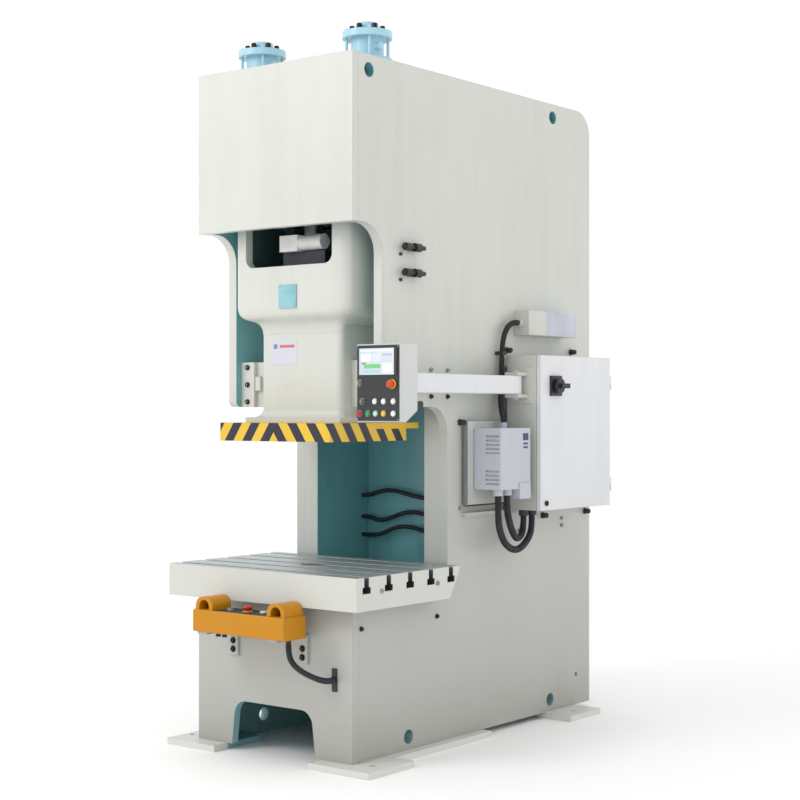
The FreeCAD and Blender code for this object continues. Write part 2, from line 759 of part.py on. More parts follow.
def slide_pad():
    """The striped tool plate under the slide, with its thin rear ledge and shank bore."""
    plate = block(("-pad_width / 2", "pad_width / 2"),
                  (tool_y + " - pad_depth / 2", tool_y + " + pad_depth / 2"),
                  ("slide_bottom", "slide_bottom + pad_thick"))
    ledge = block(("-pad_width / 2", "pad_width / 2"),
                  (tool_y + " + pad_depth / 2", tool_y + " + pad_depth / 2 + ledge_long"),
                  ("slide_bottom + pad_thick - ledge_thick", "slide_bottom + pad_thick"))
    shank = cylinder("z", "shank_hole", "slide_bottom - 1", "slide_bottom + pad_thick + 1", y=tool_y)
    bolt_holes = [cylinder("z", "11", "slide_bottom - 1", "slide_bottom + 60",
                           x=str(x), y=tool_y + " + %d" % y)
                  for x in (-270, -120, 120, 270) for y in (-220, 220)]
    return cut(fuse(plate, ledge), shank, *bolt_holes)


node("slide_pad", slide_pad())
node("slide_plate", block(("-54", "54"), (back("head_front - 6"), back("head_front")), ("2075", "2183")))
node("balance_rods", group(*[
    fuse(cylinder("z", "balance_rod", "slide_top", "frame_top + 50", x=x, y=tool_y),
         cylinder("z", "balance_bore - run_gap", "frame_top + 20", "frame_top + 50", x=x, y=tool_y))
    for x in ("-balance_x", "balance_x")]))

screw_top = "rod_bottom - open_gap"


def adjusting_screw():
    """Ball-ended screw that sets the shut height."""
    stem = cylinder("z", "45", "cavity_bottom + 40", screw_top, y=tool_y)
    ball = cylinder("z", "75", "cavity_bottom", "cavity_bottom + 60", y=tool_y)
    return fuse(stem, ball)


node("adjusting_screw", adjusting_screw())


def adjuster():
    """Worm housing round the screw, standing on the cavity floor behind the window."""
    housing = block(("-110", "150"), (tool_y + " - 90", tool_y + " + 90"),
                    ("window_bottom - 2", "window_bottom + 72"))
    legs = block(("-110", "150"), (tool_y + " + 80", tool_y + " + 90"),
                 ("cavity_bottom", "window_bottom"))
    hole = cylinder("z", "45 + run_gap", "cavity_bottom", "window_bottom + 90", y=tool_y)
    return cut(fuse(housing, legs), hole)


node("adjuster", adjuster())
node("adjuster_motor", fuse(
    cylinder("x", "36", "10", "150", y=tool_y + " - 92", z="window_bottom + 112"),
    block(("-100", "10"), (tool_y + " - 128", tool_y + " - 56"),
          ("window_bottom + 72", "window_bottom + 148"))))


def gib(side):
    """Guide rail beside the trunk, with the bolted gib block in front of it."""
    x = span(side, "trunk_half + gib_gap", inside)
    rail = block(x, (back("rail_front"), back("trunk_back")), ("throat_top", "crown_bottom"))
    front = block(x, (back("gib_front + gib_step"), back("rail_front")),
                  ("throat_top", "throat_top + gib_high"))
    keeper = block(span(side, inside + " - gib_keeper", inside),
                   (back("gib_front"), back("gib_front + gib_step + 1")),
                   ("throat_top", "throat_top + gib_high"))
    tongue = block(span(side, inside + " - gib_keeper - 34", inside + " - gib_keeper + 1"),
                   (back("gib_front + 6"), back("gib_front + gib_step + 1")),
                   ("throat_top + gib_high * 0.36", "throat_top + gib_high * 0.68"))
    centre = inside + " - gib_keeper / 2"
    bolts = [cylinder("y", "9", back("gib_front - 9"), back("gib_front + 1"),
                      x=centre if side > 0 else minus(centre), z="throat_top + %d" % rise)
             for rise in (25, 108, 192)]
    return fuse(rail, front, keeper, tongue, *bolts)


node("gibs", pair(gib))

# ---------------------------------------------------------------- balance cylinders

def balance_cylinder(side):
    """Air cylinder standing through the top plate, with flange, cap, dome and tie rods."""
    x = "balance_x" if side > 0 else "-balance_x"
    top = "frame_top + balance_over"
    shell = cylinder("z", "balance_shell", "balance_bottom", top, x=x, y=tool_y)
    flange = cylinder("z", "balance_cap", "frame_top", "frame_top + 22", x=x, y=tool_y)
    cap = cylinder("z", "balance_cap", top, top + " + 32", x=x, y=tool_y)
    dome = cylinder("z", "52", top + " + 32", top + " + 72", x=x, y=tool_y)
    rods = [cylinder("z", "7", "frame_top + 22", top + " + 46",
                     x="%s + %d" % (x, dx), y=tool_y + " + %d" % dy)
            for dx in (-68, 68) for dy in (-68, 68)]
    port = cylinder("x", "16", "%s + balance_shell - 10" % x, "%s + balance_shell + 22" % x,
                    y=tool_y + " - 20", z="frame_top + 70")
    solid = fuse(shell, flange, cap, dome, port, *rods)
    bore = cylinder("z", "balance_bore", "balance_bottom + 30", top, x=x, y=tool_y)
    gland = cylinder("z", "balance_rod + run_gap", "balance_bottom - 1", "balance_bottom + 31",
                     x=x, y=tool_y)
    return cut(solid, bore, gland)


node("balance_cylinders", pair(balance_cylinder))

# ---------------------------------------------------------------- side equipment

wall_x = "frame_width / 2"


def cabinet_body():
    """Switch cabinet: open box on four stand-offs, with the hinge pins on its rear edge."""
    x0, x1 = wall_x + " + cabinet_gap", wall_x + " + cabinet_gap + cabinet_deep"
    y0, y1 = back("cabinet_front"), back("cabinet_front + cabinet_wide")
    z0, z1 = "cabinet_bottom", "cabinet_bottom + cabinet_high"
    outer = block((x0, x1), (y0, y1), (z0, z1))
    inner = block((x0 + " + sheet_wall", x1 + " + 1"), (y0 + " + sheet_wall", y1 + " - sheet_wall"),
                  (z0 + " + sheet_wall", z1 + " - sheet_wall"))
    feet = [block((wall_x, x0), (y + " - 15", y + " + 15"), (z + " - 15", z + " + 15"))
            for y in (y0 + " + 30", y1 + " - 30") for z in (z0 + " + 60", z1 + " - 40")]
    hinge_x = x1 + " + door_gap + door_thick / 2"
    pins = []
    for z in ("cabinet_bottom + 100", "cabinet_bottom + cabinet_high - 140"):
        pins.append(cylinder("z", "hinge_pin", z + " - 25", z + " + 45", x=hinge_x, y=y1 + " + 12"))
        pins.append(cylinder("z", "9", z + " - 25", z + " - 0.3", x=hinge_x, y=y1 + " + 12"))
        pins.append(block((x1 + " - 20", hinge_x), (y1, y1 + " + 12"), (z + " - 25", z + " - 0.3")))
    return fuse(cut(outer, inner), *feet, *pins)


def cabinet_door():
    x0 = wall_x + " + cabinet_gap + cabinet_deep + door_gap"
    x1 = x0 + " + door_thick"
    y0, y1 = back("cabinet_front"), back("cabinet_front + cabinet_wide")
    z0, z1 = "cabinet_bottom", "cabinet_bottom + cabinet_high"
    leaf = block((x0, x1), (y0, y1 + " - 1"), (z0, z1))
    leaf = soften(leaf, 6, "z", lambda middle: middle.x > probe(x1) - 1)
    hollow = block((x0 + " - 1", x1 + " - sheet_wall"), (y0 + " + 12", y1 + " - 13"),
                   (z0 + " + 12", z1 + " - 12"))
    parts = [cut(leaf, hollow)]
    hinge_x = x0 + " + door_thick / 2"
    for z in ("cabinet_bottom + 100", "cabinet_bottom + cabinet_high - 140"):
        barrel = cylinder("z", "9", z, z + " + 40", x=hinge_x, y=y1 + " + 12")
        strap = block((x1 + " - 6", x1 + " - 2"), (y1 + " - 10", y1 + " + 12"), (z, z + " + 40"))
        parts.append(barrel)
        parts.append(strap)
    bores = [cylinder("z", "hinge_pin + run_gap", z + " - 1", z + " + 46", x=hinge_x, y=y1 + " + 12")
             for z in ("cabinet_bottom + 100", "cabinet_bottom + cabinet_high - 140")]
    return cut(fuse(*parts), *bores)


node("cabinet_door", cabinet_door())
door_face = wall_x + " + cabinet_gap + cabinet_deep + door_gap + door_thick"
switch_y = back("cabinet_front + 125")
switch_z = "cabinet_bottom + cabinet_high - 150"
switch_base = fuse(
    block((door_face, door_face + " + 12"), (switch_y + " - 48", switch_y + " + 48"),
          (switch_z + " - 50", switch_z + " + 50")),
    cylinder("x", "14", door_face + " + 12", door_face + " + 20", y=switch_y, z=switch_z))
node("main_switch", fuse(
    cylinder("x", "36", door_face + " + 20.3", door_face + " + 38", y=switch_y, z=switch_z),
    block((door_face + " + 24", door_face + " + 52"), (switch_y + " - 12", switch_y + " + 62"),
          (switch_z + " - 12", switch_z + " + 12"))))
lock_y, lock_z = back("cabinet_front + 45"), "cabinet_bottom + 35"
door_lock = fuse(
    cylinder("x", "13", door_face, door_face + " + 8", y=lock_y, z=lock_z),
    block((door_face + " + 8", door_face + " + 13"), (lock_y + " - 3", lock_y + " + 3"),
          (lock_z + " - 10", lock_z + " + 10")))
node("door_fittings", group(switch_base, door_lock))


def mounting_rail():
    """The rail under the cabinet, its end blocks and the drive unit's back plate."""
    rail = block((wall_x, wall_x + " + cabinet_gap"), (back("panel_front"), back("frame_depth - 30")),
                 ("cabinet_bottom - 20", "cabinet_bottom"))
    plate = block((wall_x + " + 25", wall_x + " + 37"),
                  (back("panel_front"), back("panel_front + panel_wide")),
                  ("panel_bottom", "panel_bottom + panel_high"))
    posts = [cylinder("x", "9", wall_x, wall_x + " + 26", y=back("panel_front + " + y),
                      z="panel_bottom + " + z)
             for y in ("20", "panel_wide - 20") for z in ("20", "panel_high - 20")]
    return group(rail, fuse(plate, *posts))


node("mounting_rail", mounting_rail())
drive_x = wall_x + " + 37"
drive_outer = drive_x + " + drive_deep"


def drive_box():
    """Drive unit: vented box, lower terminal cover and two glands."""
    box = block((drive_x, drive_outer), (back("drive_front"), back("drive_front + drive_wide")),
                ("drive_bottom", "drive_bottom + drive_high"))
    box = soften(box, 8, "z")
    lower = block((drive_outer + " - 70", drive_outer + " + 6"),
                  (back("drive_front + 150"), back("drive_front + drive_wide - 12")),
                  ("drive_bottom - 48", "drive_bottom + 30"))
    vents = [block((drive_x + " + 72", drive_outer + " - 14"),
                   (back("drive_front - 1"), back("drive_front + 9")),
                   ("drive_bottom + %d" % rise, "drive_bottom + %d" % (rise + 10)))
             for rise in (24, 44, 64, 84, 172, 192, 212, 232, 252)]
    glands = [cylinder("z", "24", "drive_bottom - 30", "drive_bottom", x=drive_x + " + 117",
                       y=back("drive_front + %d" % y)) for y in (40, 115)]
    top_gland = cylinder("z", "19", "drive_bottom + drive_high", "drive_bottom + drive_high + 26",
                         x=drive_x + " + 45", y=back("drive_front + 190"))
    return fuse(cut(fuse(box, lower), *vents), top_gland, *glands)


node("drive_box", drive_box())


def junction_box():
    x1 = wall_x + " + junction_deep"
    box = block((wall_x, x1), (back("junction_front"), back("junction_front + junction_wide")),
                ("junction_bottom", "junction_bottom + junction_high"))
    box = soften(box, 5, "y", lambda middle: middle.x > probe(wall_x) + 5)
    gland = cylinder("y", "19", back("junction_front - 26"), back("junction_front"), x=wall_x + " + 40",
                     z="junction_bottom + 62")
    return fuse(box, gland)


node("junction_box", junction_box())


PLATE_SCREWS = ((576, 1790), (706, 1790), (576, 1663), (706, 1663), (59, 625), (622, 625))


def valve_pair():
    """Two black union fittings on the right side plate, each on its bolted base."""
    parts = []
    for high in (2350, 2232):
        z = str(high)
        body = cylinder("y", "11", back("336"), back("486"), x=wall_x + " + 30", z=z)
        collars = [cylinder("y", radius, back(a), back(b), x=wall_x + " + 30", z=z)
                   for radius, a, b in (("18", "340", "378"), ("20", "410", "452"))]
        base = block((wall_x, wall_x + " + 24"), (back("392"), back("436")), (z + " - 16", z + " + 16"))
        parts.append(fuse(body, base, *collars))
        parts.append(cylinder("x", "8", wall_x, wall_x + " + 9", y=back("341"), z=z + " - 34"))
    for across, z in PLATE_SCREWS:
        parts.append(cylinder("x", "8", wall_x, wall_x + " + 9", y=back(str(across)), z=str(z)))
    return parts


# ---------------------------------------------------------------- hanging arm and panel

arm_low, arm_top = "arm_high - arm_size / 2", "arm_high + arm_size / 2"
pivot_y, swivel_y = back("arm_pivot"), back("swivel")


def arm_bracket():
    """Two lugs and a pin on the front wall of the cabinet."""
    plate = block(("arm_x - 60", "arm_x + 60"), (back("cabinet_front - 10"), back("cabinet_front")),
                  (arm_low + " - 45", arm_top + " + 45"))
    lugs = [block(("arm_x - 38", "arm_x + 38"), (pivot_y + " - 36", back("cabinet_front - 10")), z)
            for z in ((arm_top + " + 0.3", arm_top + " + 18"), (arm_low + " - 18", arm_low + " - 0.3"))]
    pin = cylinder("z", "arm_pin", arm_low + " - 26", arm_top + " + 26", x="arm_x", y=pivot_y)
    return fuse(plate, pin, *lugs)


node("cabinet_body", fuse(cabinet_body(), arm_bracket()))


def hanging_arm():
    """Square tube with a pivot barrel at the cabinet and a fork for the panel."""
    x = ("arm_x - arm_size / 2", "arm_x + arm_size / 2")
    tube = block(x, (back("arm_front"), back("arm_back")), (arm_low, arm_top))
    tube = soften(tube, 10, "y")
    hollow = block((x[0] + " + arm_wall", x[1] + " - arm_wall"),
                   (back("arm_front + 12"), back("arm_back + 1")),
                   (arm_low + " + arm_wall", arm_top + " - arm_wall"))
    end = block(("arm_x - 30", "arm_x + 30"), (back("arm_back - 8"), pivot_y), (arm_low, arm_top))
    barrel = cylinder("z", "30", arm_low, arm_top, x="arm_x", y=pivot_y)
    bore = cylinder("z", "arm_pin + run_gap", arm_low + " - 1", arm_top + " + 1", x="arm_x", y=pivot_y)
    lugs = [block(("arm_x - 26", "arm_x + 26"), (swivel_y + " - 26", back("arm_front + 5")), z)
            for z in ((arm_top + " - 16", arm_top), (arm_low, arm_low + " + 16"))]
    pin = cylinder("z", "swivel_pin", arm_low, arm_top, x="arm_x", y=swivel_y)
    grip_stem = cylinder("z", "8", arm_low + " - 36", arm_low, x="arm_x + 22", y=back("arm_front + 60"))
    return fuse(cut(fuse(cut(tube, hollow), end, barrel), bore), pin, grip_stem, *lugs)


node("hanging_arm", hanging_arm())
node("arm_grip", soften(block(("arm_x + 6", "arm_x + 38"), (back("arm_front + 10"), back("arm_front + 110")),
                              (arm_low + " - 66", arm_low + " - 36.3")), 13, "y"))
panel_low, panel_top = "panel_centre - panel_box_high / 2", "panel_centre + panel_box_high / 2"


def panel_box():
    """Operator panel housing, cut back under its rear, with a swivel knuckle."""
    x = ("panel_x - panel_box / 2", "panel_x + panel_box / 2")
    box = block(x, (back("4"), back("panel_box_deep")), (panel_low, panel_top))
    box = soften(box, 8, "z", lambda middle: middle.y < probe(back("10")))
    wedge = cut_wedge()
    wells = control_holes(back("3"), back("14"), PUSH_BUTTONS)
    knuckle = cylinder("z", "26", arm_low + " + 16.3", arm_top + " - 16.3", x="arm_x", y=swivel_y)
    web = block(("arm_x - 20", "arm_x + 20"), (back("panel_box_deep - 4"), swivel_y),
                (arm_low + " + 16.3", arm_top + " - 16.3"))
    bore = cylinder("z", "swivel_pin + run_gap", arm_low, arm_top, x="arm_x", y=swivel_y)
    return fuse(cut(box, wedge, *wells), cut(fuse(knuckle, web), bore))


def cut_wedge():
    """The slanted relief under the back of the operator panel."""
    half = size("panel_box") / 2 + 1
    y0, y1 = probe(back("40")), probe(back("panel_box_deep + 1"))
    z0 = probe(panel_low)
    corners = [FreeCAD.Vector(size("panel_x") - half, y, z)
               for y, z in ((y0, z0 - 1), (y1, z0 - 1), (y1, z0 + 52))]
    item = doc.addObject("Part::Feature", "PanelRelief")
    item.Shape = Part.Face(Part.makePolygon(corners + corners[:1])).extrude(FreeCAD.Vector(2 * half, 0, 0))
    return item


def face_place(across, up):
    """A place on the operator panel's face, from its lower left corner."""
    return ("panel_x - panel_box / 2 + %s" % across, panel_low + " + %s" % up)


PUSH_BUTTONS = (("white_a", 109, 91), ("white_b", 158, 91), ("white_c", 212, 91), ("red", 24, 38),
                ("green", 70, 38), ("clear", 113, 38), ("yellow", 158, 38), ("white_d", 212, 38))
TURN_SWITCHES = (("panel_key", 24, 172), ("panel_selector", 38, 91))
STOP_PLACE = (203, 166)


def panel_face():
    """The dark face plate, with a clearance hole for each control."""
    x0, z0 = face_place(6, 6)
    x1, z1 = face_place("panel_box - 6", "panel_box_high - 6")
    plate = block((x0, x1), (back("0"), back("4")), (z0, z1))
    holes = control_holes(back("-1"), back("5"), PUSH_BUTTONS)
    for name, across, up in TURN_SWITCHES:
        x, z = face_place(across, up)
        holes.append(cylinder("y", "10 + run_gap", back("-1"), back("5"), x=x, z=z))
    return cut(plate, *holes)


def control_holes(start, end, buttons):
    """Clearance for the stems of the push buttons and the stop button."""
    holes = []
    for name, across, up in buttons:
        x, z = face_place(across, up)
        holes.append(cylinder("y", "11 + button_gap", start, end, x=x, z=z))
    x, z = face_place(*STOP_PLACE)
    holes.append(cylinder("y", "12 + button_gap", start, end, x=x, z=z))
    return holes


node("panel_box", panel_box())


node("panel_face", panel_face())
screen_x0, screen_z0 = face_place(15, 205)
screen_x1, screen_z1 = face_place("panel_box - 15", "panel_box_high - 16")
node("panel_screen", soften(
    block((screen_x0, screen_x1), (back("-4"), back("0")), (screen_z0, screen_z1)), 4, "y"))


for name, across, up in PUSH_BUTTONS:
    x, z = face_place(across, up)
    node("button_" + name, cylinder("y", "11", back("-9"), back("3.7"), x=x, z=z))
x, z = face_place(*STOP_PLACE)
node("panel_stop", fuse(cylinder("y", "12", back("-12"), back("3.7"), x=x, z=z),
                        cylinder("y", "20", back("-26"), back("-12"), x=x, z=z)))
for name, across, up in TURN_SWITCHES:
    x, z = face_place(across, up)
    node(name, fuse(cylinder("y", "10", back("-8"), back("4"), x=x, z=z),
                    block((x + " - 2.5", x + " + 2.5"), (back("-18"), back("-8")), (z + " - 10", z + " + 10"))))

# ---------------------------------------------------------------- two-hand station

station_y = (back("-station_back - station_deep"), back("-station_back"))
station_top = "station_bottom + station_high"
BRACKET_PLACES = (-240, 192)
guard_middle = "station_width / 2 - guard_wide / 2"
guard_y = "%s + station_deep / 2" % station_y[0]
STATION_BUTTONS = (("station_grey", -110, 15), ("station_white", 92, 15), ("station_black", 135, 13))
STATION_STOP_X = -5


def station_box():
    """Two-hand control box with an arched hood over each palm button, open to the front."""
    box = block(("-station_width / 2", "station_width / 2"), station_y, ("station_bottom", station_top))
    box = soften(box, 10, "x")
    guards, wells = [], []
    for side in ("-1", "1"):
        x = "%s * (%s)" % (side, guard_middle)
        guard = block((x + " - guard_wide / 2 + 6", x + " + guard_wide / 2 - 6"),
                      (station_y[0] + " + 12", station_y[1] + " - 12"),
                      (station_top + " - 5", station_top + " + guard_high"))
        guard = soften(guard, 44, "y", lambda middle: middle.z > probe(station_top) + 20)
        tunnel_y = (station_y[0], station_y[1] + " - 26")
        vault = cylinder("y", "palm_size + 9", *tunnel_y, x=x, z=station_top + " + 13")
        passage = block((x + " - palm_size - 9", x + " + palm_size + 9"), tunnel_y,
                        (station_top + " - 6", station_top + " + 13"))
        guards.append(cut(guard, vault, passage))
        wells.append(cylinder("z", "16 + button_gap", station_top + " - 30", station_top + " + 1",
                              x=x, y=guard_y))
    for name, across, radius in STATION_BUTTONS:
        wells.append(cylinder("z", "%d + button_gap" % radius, station_top + " - 20", station_top + " + 1",
                              x=str(across), y=guard_y))
    wells.append(cylinder("z", "13 + button_gap", station_top + " - 30", station_top + " + 1",
                          x=str(STATION_STOP_X), y=guard_y))
    gland = [cylinder("z", "12", "station_bottom - 24", "station_bottom", x=str(x), y=guard_y)
             for x in (-190, -150, 243)]
    return fuse(cut(fuse(box, *guards), *wells), *gland)


node("station_box", station_box())
for word, side in (("left", "-1"), ("right", "1")):
    x = "%s * (%s)" % (side, guard_middle)
    node("palm_" + word, fuse(
        cylinder("z", "16", station_top + " - 12", station_top + " + 18", x=x, y=guard_y),
        cylinder("z", "palm_size", station_top + " + 15", station_top + " + 30", x=x, y=guard_y)))
for name, across, radius in STATION_BUTTONS:
    node(name, cylinder("z", str(radius), station_top + " - 8", station_top + " + 10",
                        x=str(across), y=guard_y))
node("station_stop", fuse(
    cylinder("z", "13", station_top + " - 12", station_top + " + 16", x=str(STATION_STOP_X), y=guard_y),
    cylinder("z", "24", station_top + " + 14", station_top + " + 30", x=str(STATION_STOP_X), y=guard_y)))


def station_bracket():
    """Two steel angles from the base front to the underside of the station."""
    parts = []
    for place in BRACKET_PLACES:
        x = ("%d" % (place - 30), "%d" % (place + 30))
        strap = block(x, (back("-12"), back("0")), ("450", "station_bottom"))
        arm = block(x, (back("-station_back - station_deep + 20"), back("0")),
                    ("station_bottom - 12", "station_bottom"))
        bolts = [cylinder("y", "9", back("-20"), back("-11"), x=str(place), z=str(high))
                 for high in (480, 520)]
        parts.append(fuse(strap, arm, *bolts))
    return group(*parts)


node("station_bracket", station_bracket())

# ---------------------------------------------------------------- conduits and hoses

def tube(name, points, radius):
    """A round conduit of straight runs joined by tangent arcs; prints its radii."""
    places = [FreeCAD.Vector(*point) for point in points]
    edges, radii, length = [], [], 0
    start = places[0]
    for before, corner, after in zip(places, places[1:], places[2:]):
        inward, outward = corner - before, after - corner
        turn = inward.getAngle(outward)
        trim = 0.45 * min(inward.Length, outward.Length)
        radii.append(trim / math.tan(turn / 2))
        enter = corner - FreeCAD.Vector(inward).normalize() * trim
        leave = corner + FreeCAD.Vector(outward).normalize() * trim
        bisector = (FreeCAD.Vector(outward).normalize() - FreeCAD.Vector(inward).normalize()).normalize()
        centre = corner + bisector * (radii[-1] / math.cos(turn / 2))
        middle = centre - bisector * radii[-1]
        edges.append(Part.makeLine(start, enter))
        edges.append(Part.Arc(enter, middle, leave).toShape())
        start = leave
    edges.append(Part.makeLine(start, places[-1]))
    wire = Part.Wire(edges)
    section = Part.Wire([Part.makeCircle(radius, places[0], places[1] - places[0])])
    solid = wire.makePipeShell([section], True, True)
    expected = math.pi * radius ** 2 * wire.Length
    print("%s: length %.0f, radii %s, volume ratio %.4f" % (
        name, wire.Length, [round(r) for r in radii], solid.Volume / expected))
    return solid


front = size("front_y")
wall = size("frame_width") / 2
GREAT, SMALL, HOSE = 17, 14, 11

station_exit = (243, front - size("station_back") - size("station_deep") / 2, size("station_bottom") - 24)
station_conduit = tube("station_conduit", [
    station_exit, (243, station_exit[1], 520), (256, front - 154, 478),
    (290, front - 136, 444), (334, front - 112, 420), (362, front - 82, 403),
    (376, front - 48, 395), (376, front - 12, 395)], SMALL)
conduit_flange = fuse(
    block(("362", "390"), (back("-6"), back("0")), ("343", "447")),
    cylinder("y", "18", back("-12"), back("-5"), x="376", z="395"))

junction_conduit = tube("junction_conduit", [
    (wall + 40, front + size("junction_front") - 26, size("junction_bottom") + 62),
    (wall + 40, front + 1207, size("junction_bottom") + 62),
    (wall + 36, front + 1160, 2012), (wall + 31, front + 1134, 1958),
    (wall + 30, front + 1122, 1880), (wall + 31, front + 1119, 1760), (wall + 30, front + 1112, 1680),
    (wall + 42, front + 1096, 1624), (wall + 64, front + 1074, 1592),
    (wall + 82, front + 1060, 1560), (wall + 82, front + 1060, 1538)], SMALL)
conduit_clip = cut(
    block((wall_x, wall_x + " + 48"), (back("1104"), back("1140")), ("1872", "1890")),
    cylinder("z", "17", "1870", "1892", x=wall_x + " + 30", y=back("1121.5")))


def drive_conduits():
    """Two loops hanging from the drive unit's glands to the cabinet's bottom glands."""
    x = wall + 154
    top = size("drive_bottom") - 30
    first = front + size("drive_front") + 115
    second = front + size("drive_front") + 40
    near_loop = [(x, first, top), (x, first, 1120), (x - 2, first + 22, 1058), (x - 10, first + 62, 1004),
                 (x - 24, first + 118, 966), (x - 40, first + 178, 972), (x - 57, first + 230, 1008),
                 (x - 57, first + 230, 1074)]
    far_loop = [(x, second, top), (x, second, 1112), (x - 4, second + 12, 1036),
                (x - 14, second + 62, 966), (x - 26, second + 138, 922), (x - 40, second + 222, 908),
                (x - 50, second + 300, 928), (x - 56, second + 366, 976), (x - 57, second + 380, 1030),
                (x - 57, second + 380, 1074)]
    return [tube("near_loop", near_loop, GREAT), tube("far_loop", far_loop, GREAT)]


cabinet_glands = [
    cylinder("z", "24", "cabinet_bottom - 30", "cabinet_bottom", x=wall_x + " + 97", y=back(str(y)))
    for y in (1215, 1290)]
node("fittings", group(conduit_flange, conduit_clip, *cabinet_glands, *valve_pair()))


def throat_hoses():
    """Three air hoses slung across the back of the throat, wall to wall."""
    reach = size("niche_half")
    hoses = []
    for high, dips in ((1151, (26, 34, 22, 6, -4, -4, 2)), (1041, (-20, 0, 28, 36, 24, 8, -2)),
                       (945, (4, 38, 56, 50, 34, 16, 4))):
        points = [(-reach, front + 1070, high), (-reach + 46, front + 1070, high)]
        step = (2 * reach - 2 * 46) / (len(dips) + 1)
        for i, dip in enumerate(dips):
            points.append((-reach + 46 + step * (i + 1), front + 1066 + 6 * (i % 2), high + dip))
        points += [(reach - 46, front + 1070, high), (reach, front + 1070, high)]
        hoses.append(tube("throat_hose", points, HOSE))
    return hoses


feature("conduits", Part.makeCompound(
    [station_conduit, junction_conduit] + drive_conduits() + throat_hoses()))

# ---------------------------------------------------------------- check and write

doc.recompute()
for item in doc.Objects:
    if "Invalid" in item.State or "Error" in item.State:
        raise RuntimeError("%s (%s) failed: %s" % (item.Name, item.Label, item.State))
os.makedirs("parts", exist_ok=True)
for name, item in NODES.items():
    shape = item.Shape
    if shape.isNull() or not shape.isValid() or not shape.Solids:
        raise RuntimeError("%s has no valid shape" % name)
    box = shape.BoundBox
    print("%-18s %2d solid(s) x %.0f..%.0f y %.0f..%.0f z %.0f..%.0f" % (
        name, len(shape.Solids), box.XMin, box.XMax, box.YMin, box.YMax, box.ZMin, box.ZMax))
    shape.exportStep("parts/%s.step" % name)
print(len(NODES), "nodes")
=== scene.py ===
# %% [markdown]
# # A C-frame stamping press
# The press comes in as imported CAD: every plate, gear and button is already in place, in metres.
# This lesson gives it its looks: paint, cast and machined metal, rubber conduits, screws, welds
# and the small parts of its controls. The CAD pieces stay where they are, and new pieces ride
# on the same moving bodies, so that the doors, buttons and slide still work.

# %% Load the press
import json
import math

import bmesh
import bpy
from mathutils import Matrix, Vector


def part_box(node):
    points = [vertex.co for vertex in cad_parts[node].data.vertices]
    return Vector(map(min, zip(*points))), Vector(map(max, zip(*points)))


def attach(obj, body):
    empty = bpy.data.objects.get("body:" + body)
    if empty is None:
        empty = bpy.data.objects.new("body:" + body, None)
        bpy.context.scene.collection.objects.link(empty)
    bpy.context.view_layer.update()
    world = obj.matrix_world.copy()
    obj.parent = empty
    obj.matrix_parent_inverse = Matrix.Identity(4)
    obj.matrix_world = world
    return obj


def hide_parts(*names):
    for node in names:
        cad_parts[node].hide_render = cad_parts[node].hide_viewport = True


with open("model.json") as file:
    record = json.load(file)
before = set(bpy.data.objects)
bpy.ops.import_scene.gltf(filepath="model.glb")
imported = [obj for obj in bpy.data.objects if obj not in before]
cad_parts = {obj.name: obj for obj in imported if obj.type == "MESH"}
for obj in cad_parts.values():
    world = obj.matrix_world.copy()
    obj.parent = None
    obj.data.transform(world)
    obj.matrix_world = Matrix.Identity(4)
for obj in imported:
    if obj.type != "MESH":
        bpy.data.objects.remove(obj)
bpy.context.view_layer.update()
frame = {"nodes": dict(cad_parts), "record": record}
nodes = frame["nodes"]

# %% [markdown]
# ## Camera
# A tall machine is shot from a distance with a long lens held level, so that its uprights stay
# parallel. The camera stands at eye height to the right of the operator's place, and a tiny
# upward shift places the machine in the picture without tilting the camera.

# %% Camera
camera_data = bpy.data.cameras.new("studio_camera")
camera_data.sensor_width = 36
camera_data.lens = 72.45
camera_data.shift_y = 0.01
camera = bpy.data.objects.new("studio_camera", camera_data)
camera.location = (5.027, -6.352, 1.609)
camera.rotation_euler = (math.radians(90), 0, math.radians(38))
bpy.context.scene.collection.objects.link(camera)
bpy.context.scene.camera = camera
print("camera distance to the origin: %.2f m" % camera.location.length)

# %% [markdown]
# ## Writing nodes as sums
# A finish is a small graph of nodes. Placing them by hand hides the sums they do, so one class
# wraps a socket and lets Python's own operators add the Math nodes. Everything else comes from
# one method, which takes the kind of node, its settings and what its sockets get. The same
# method builds the Geometry Nodes recipes further down.

# %% Signals and benches
class Signal:
    """A socket that carries a value; sums with it add Math nodes."""

    def __init__(self, bench, socket):
        self.bench, self.socket = bench, socket

    def math(self, operation, *values):
        return self.bench.node("ShaderNodeMath", {"operation": operation},
                               dict(enumerate(values)))

    def either(self, other):
        """The larger of two masks: 1 where at least one of them is 1."""
        return self.math("MAXIMUM", self, other)

    def __add__(self, other):
        return self.math("ADD", self, other)

    def __radd__(self, other):
        return self.math("ADD", other, self)

    def __sub__(self, other):
        return self.math("SUBTRACT", self, other)

    def __rsub__(self, other):
        return self.math("SUBTRACT", other, self)

    def __mul__(self, other):
        return self.math("MULTIPLY", self, other)

    def __rmul__(self, other):
        return self.math("MULTIPLY", other, self)

    def __truediv__(self, other):
        return self.math("DIVIDE", self, other)

    def __gt__(self, other):
        return self.math("GREATER_THAN", self, other)

    def __lt__(self, other):
        return self.math("LESS_THAN", self, other)

    def __abs__(self):
        return self.math("ABSOLUTE", self)


class Bench:
    """Adds nodes to one tree."""

    def __init__(self, tree):
        self.tree = tree

    def node(self, kind, settings=None, sockets=None, out=0):
        made = self.tree.nodes.new(kind)
        for key, value in (settings or {}).items():
            setattr(made, key, value)
        for key, value in (sockets or {}).items():
            if isinstance(value, Signal):
                self.tree.links.new(value.socket, made.inputs[key])
            else:
                made.inputs[key].default_value = value
        return Signal(self, made.outputs[out])


print("node method ready")

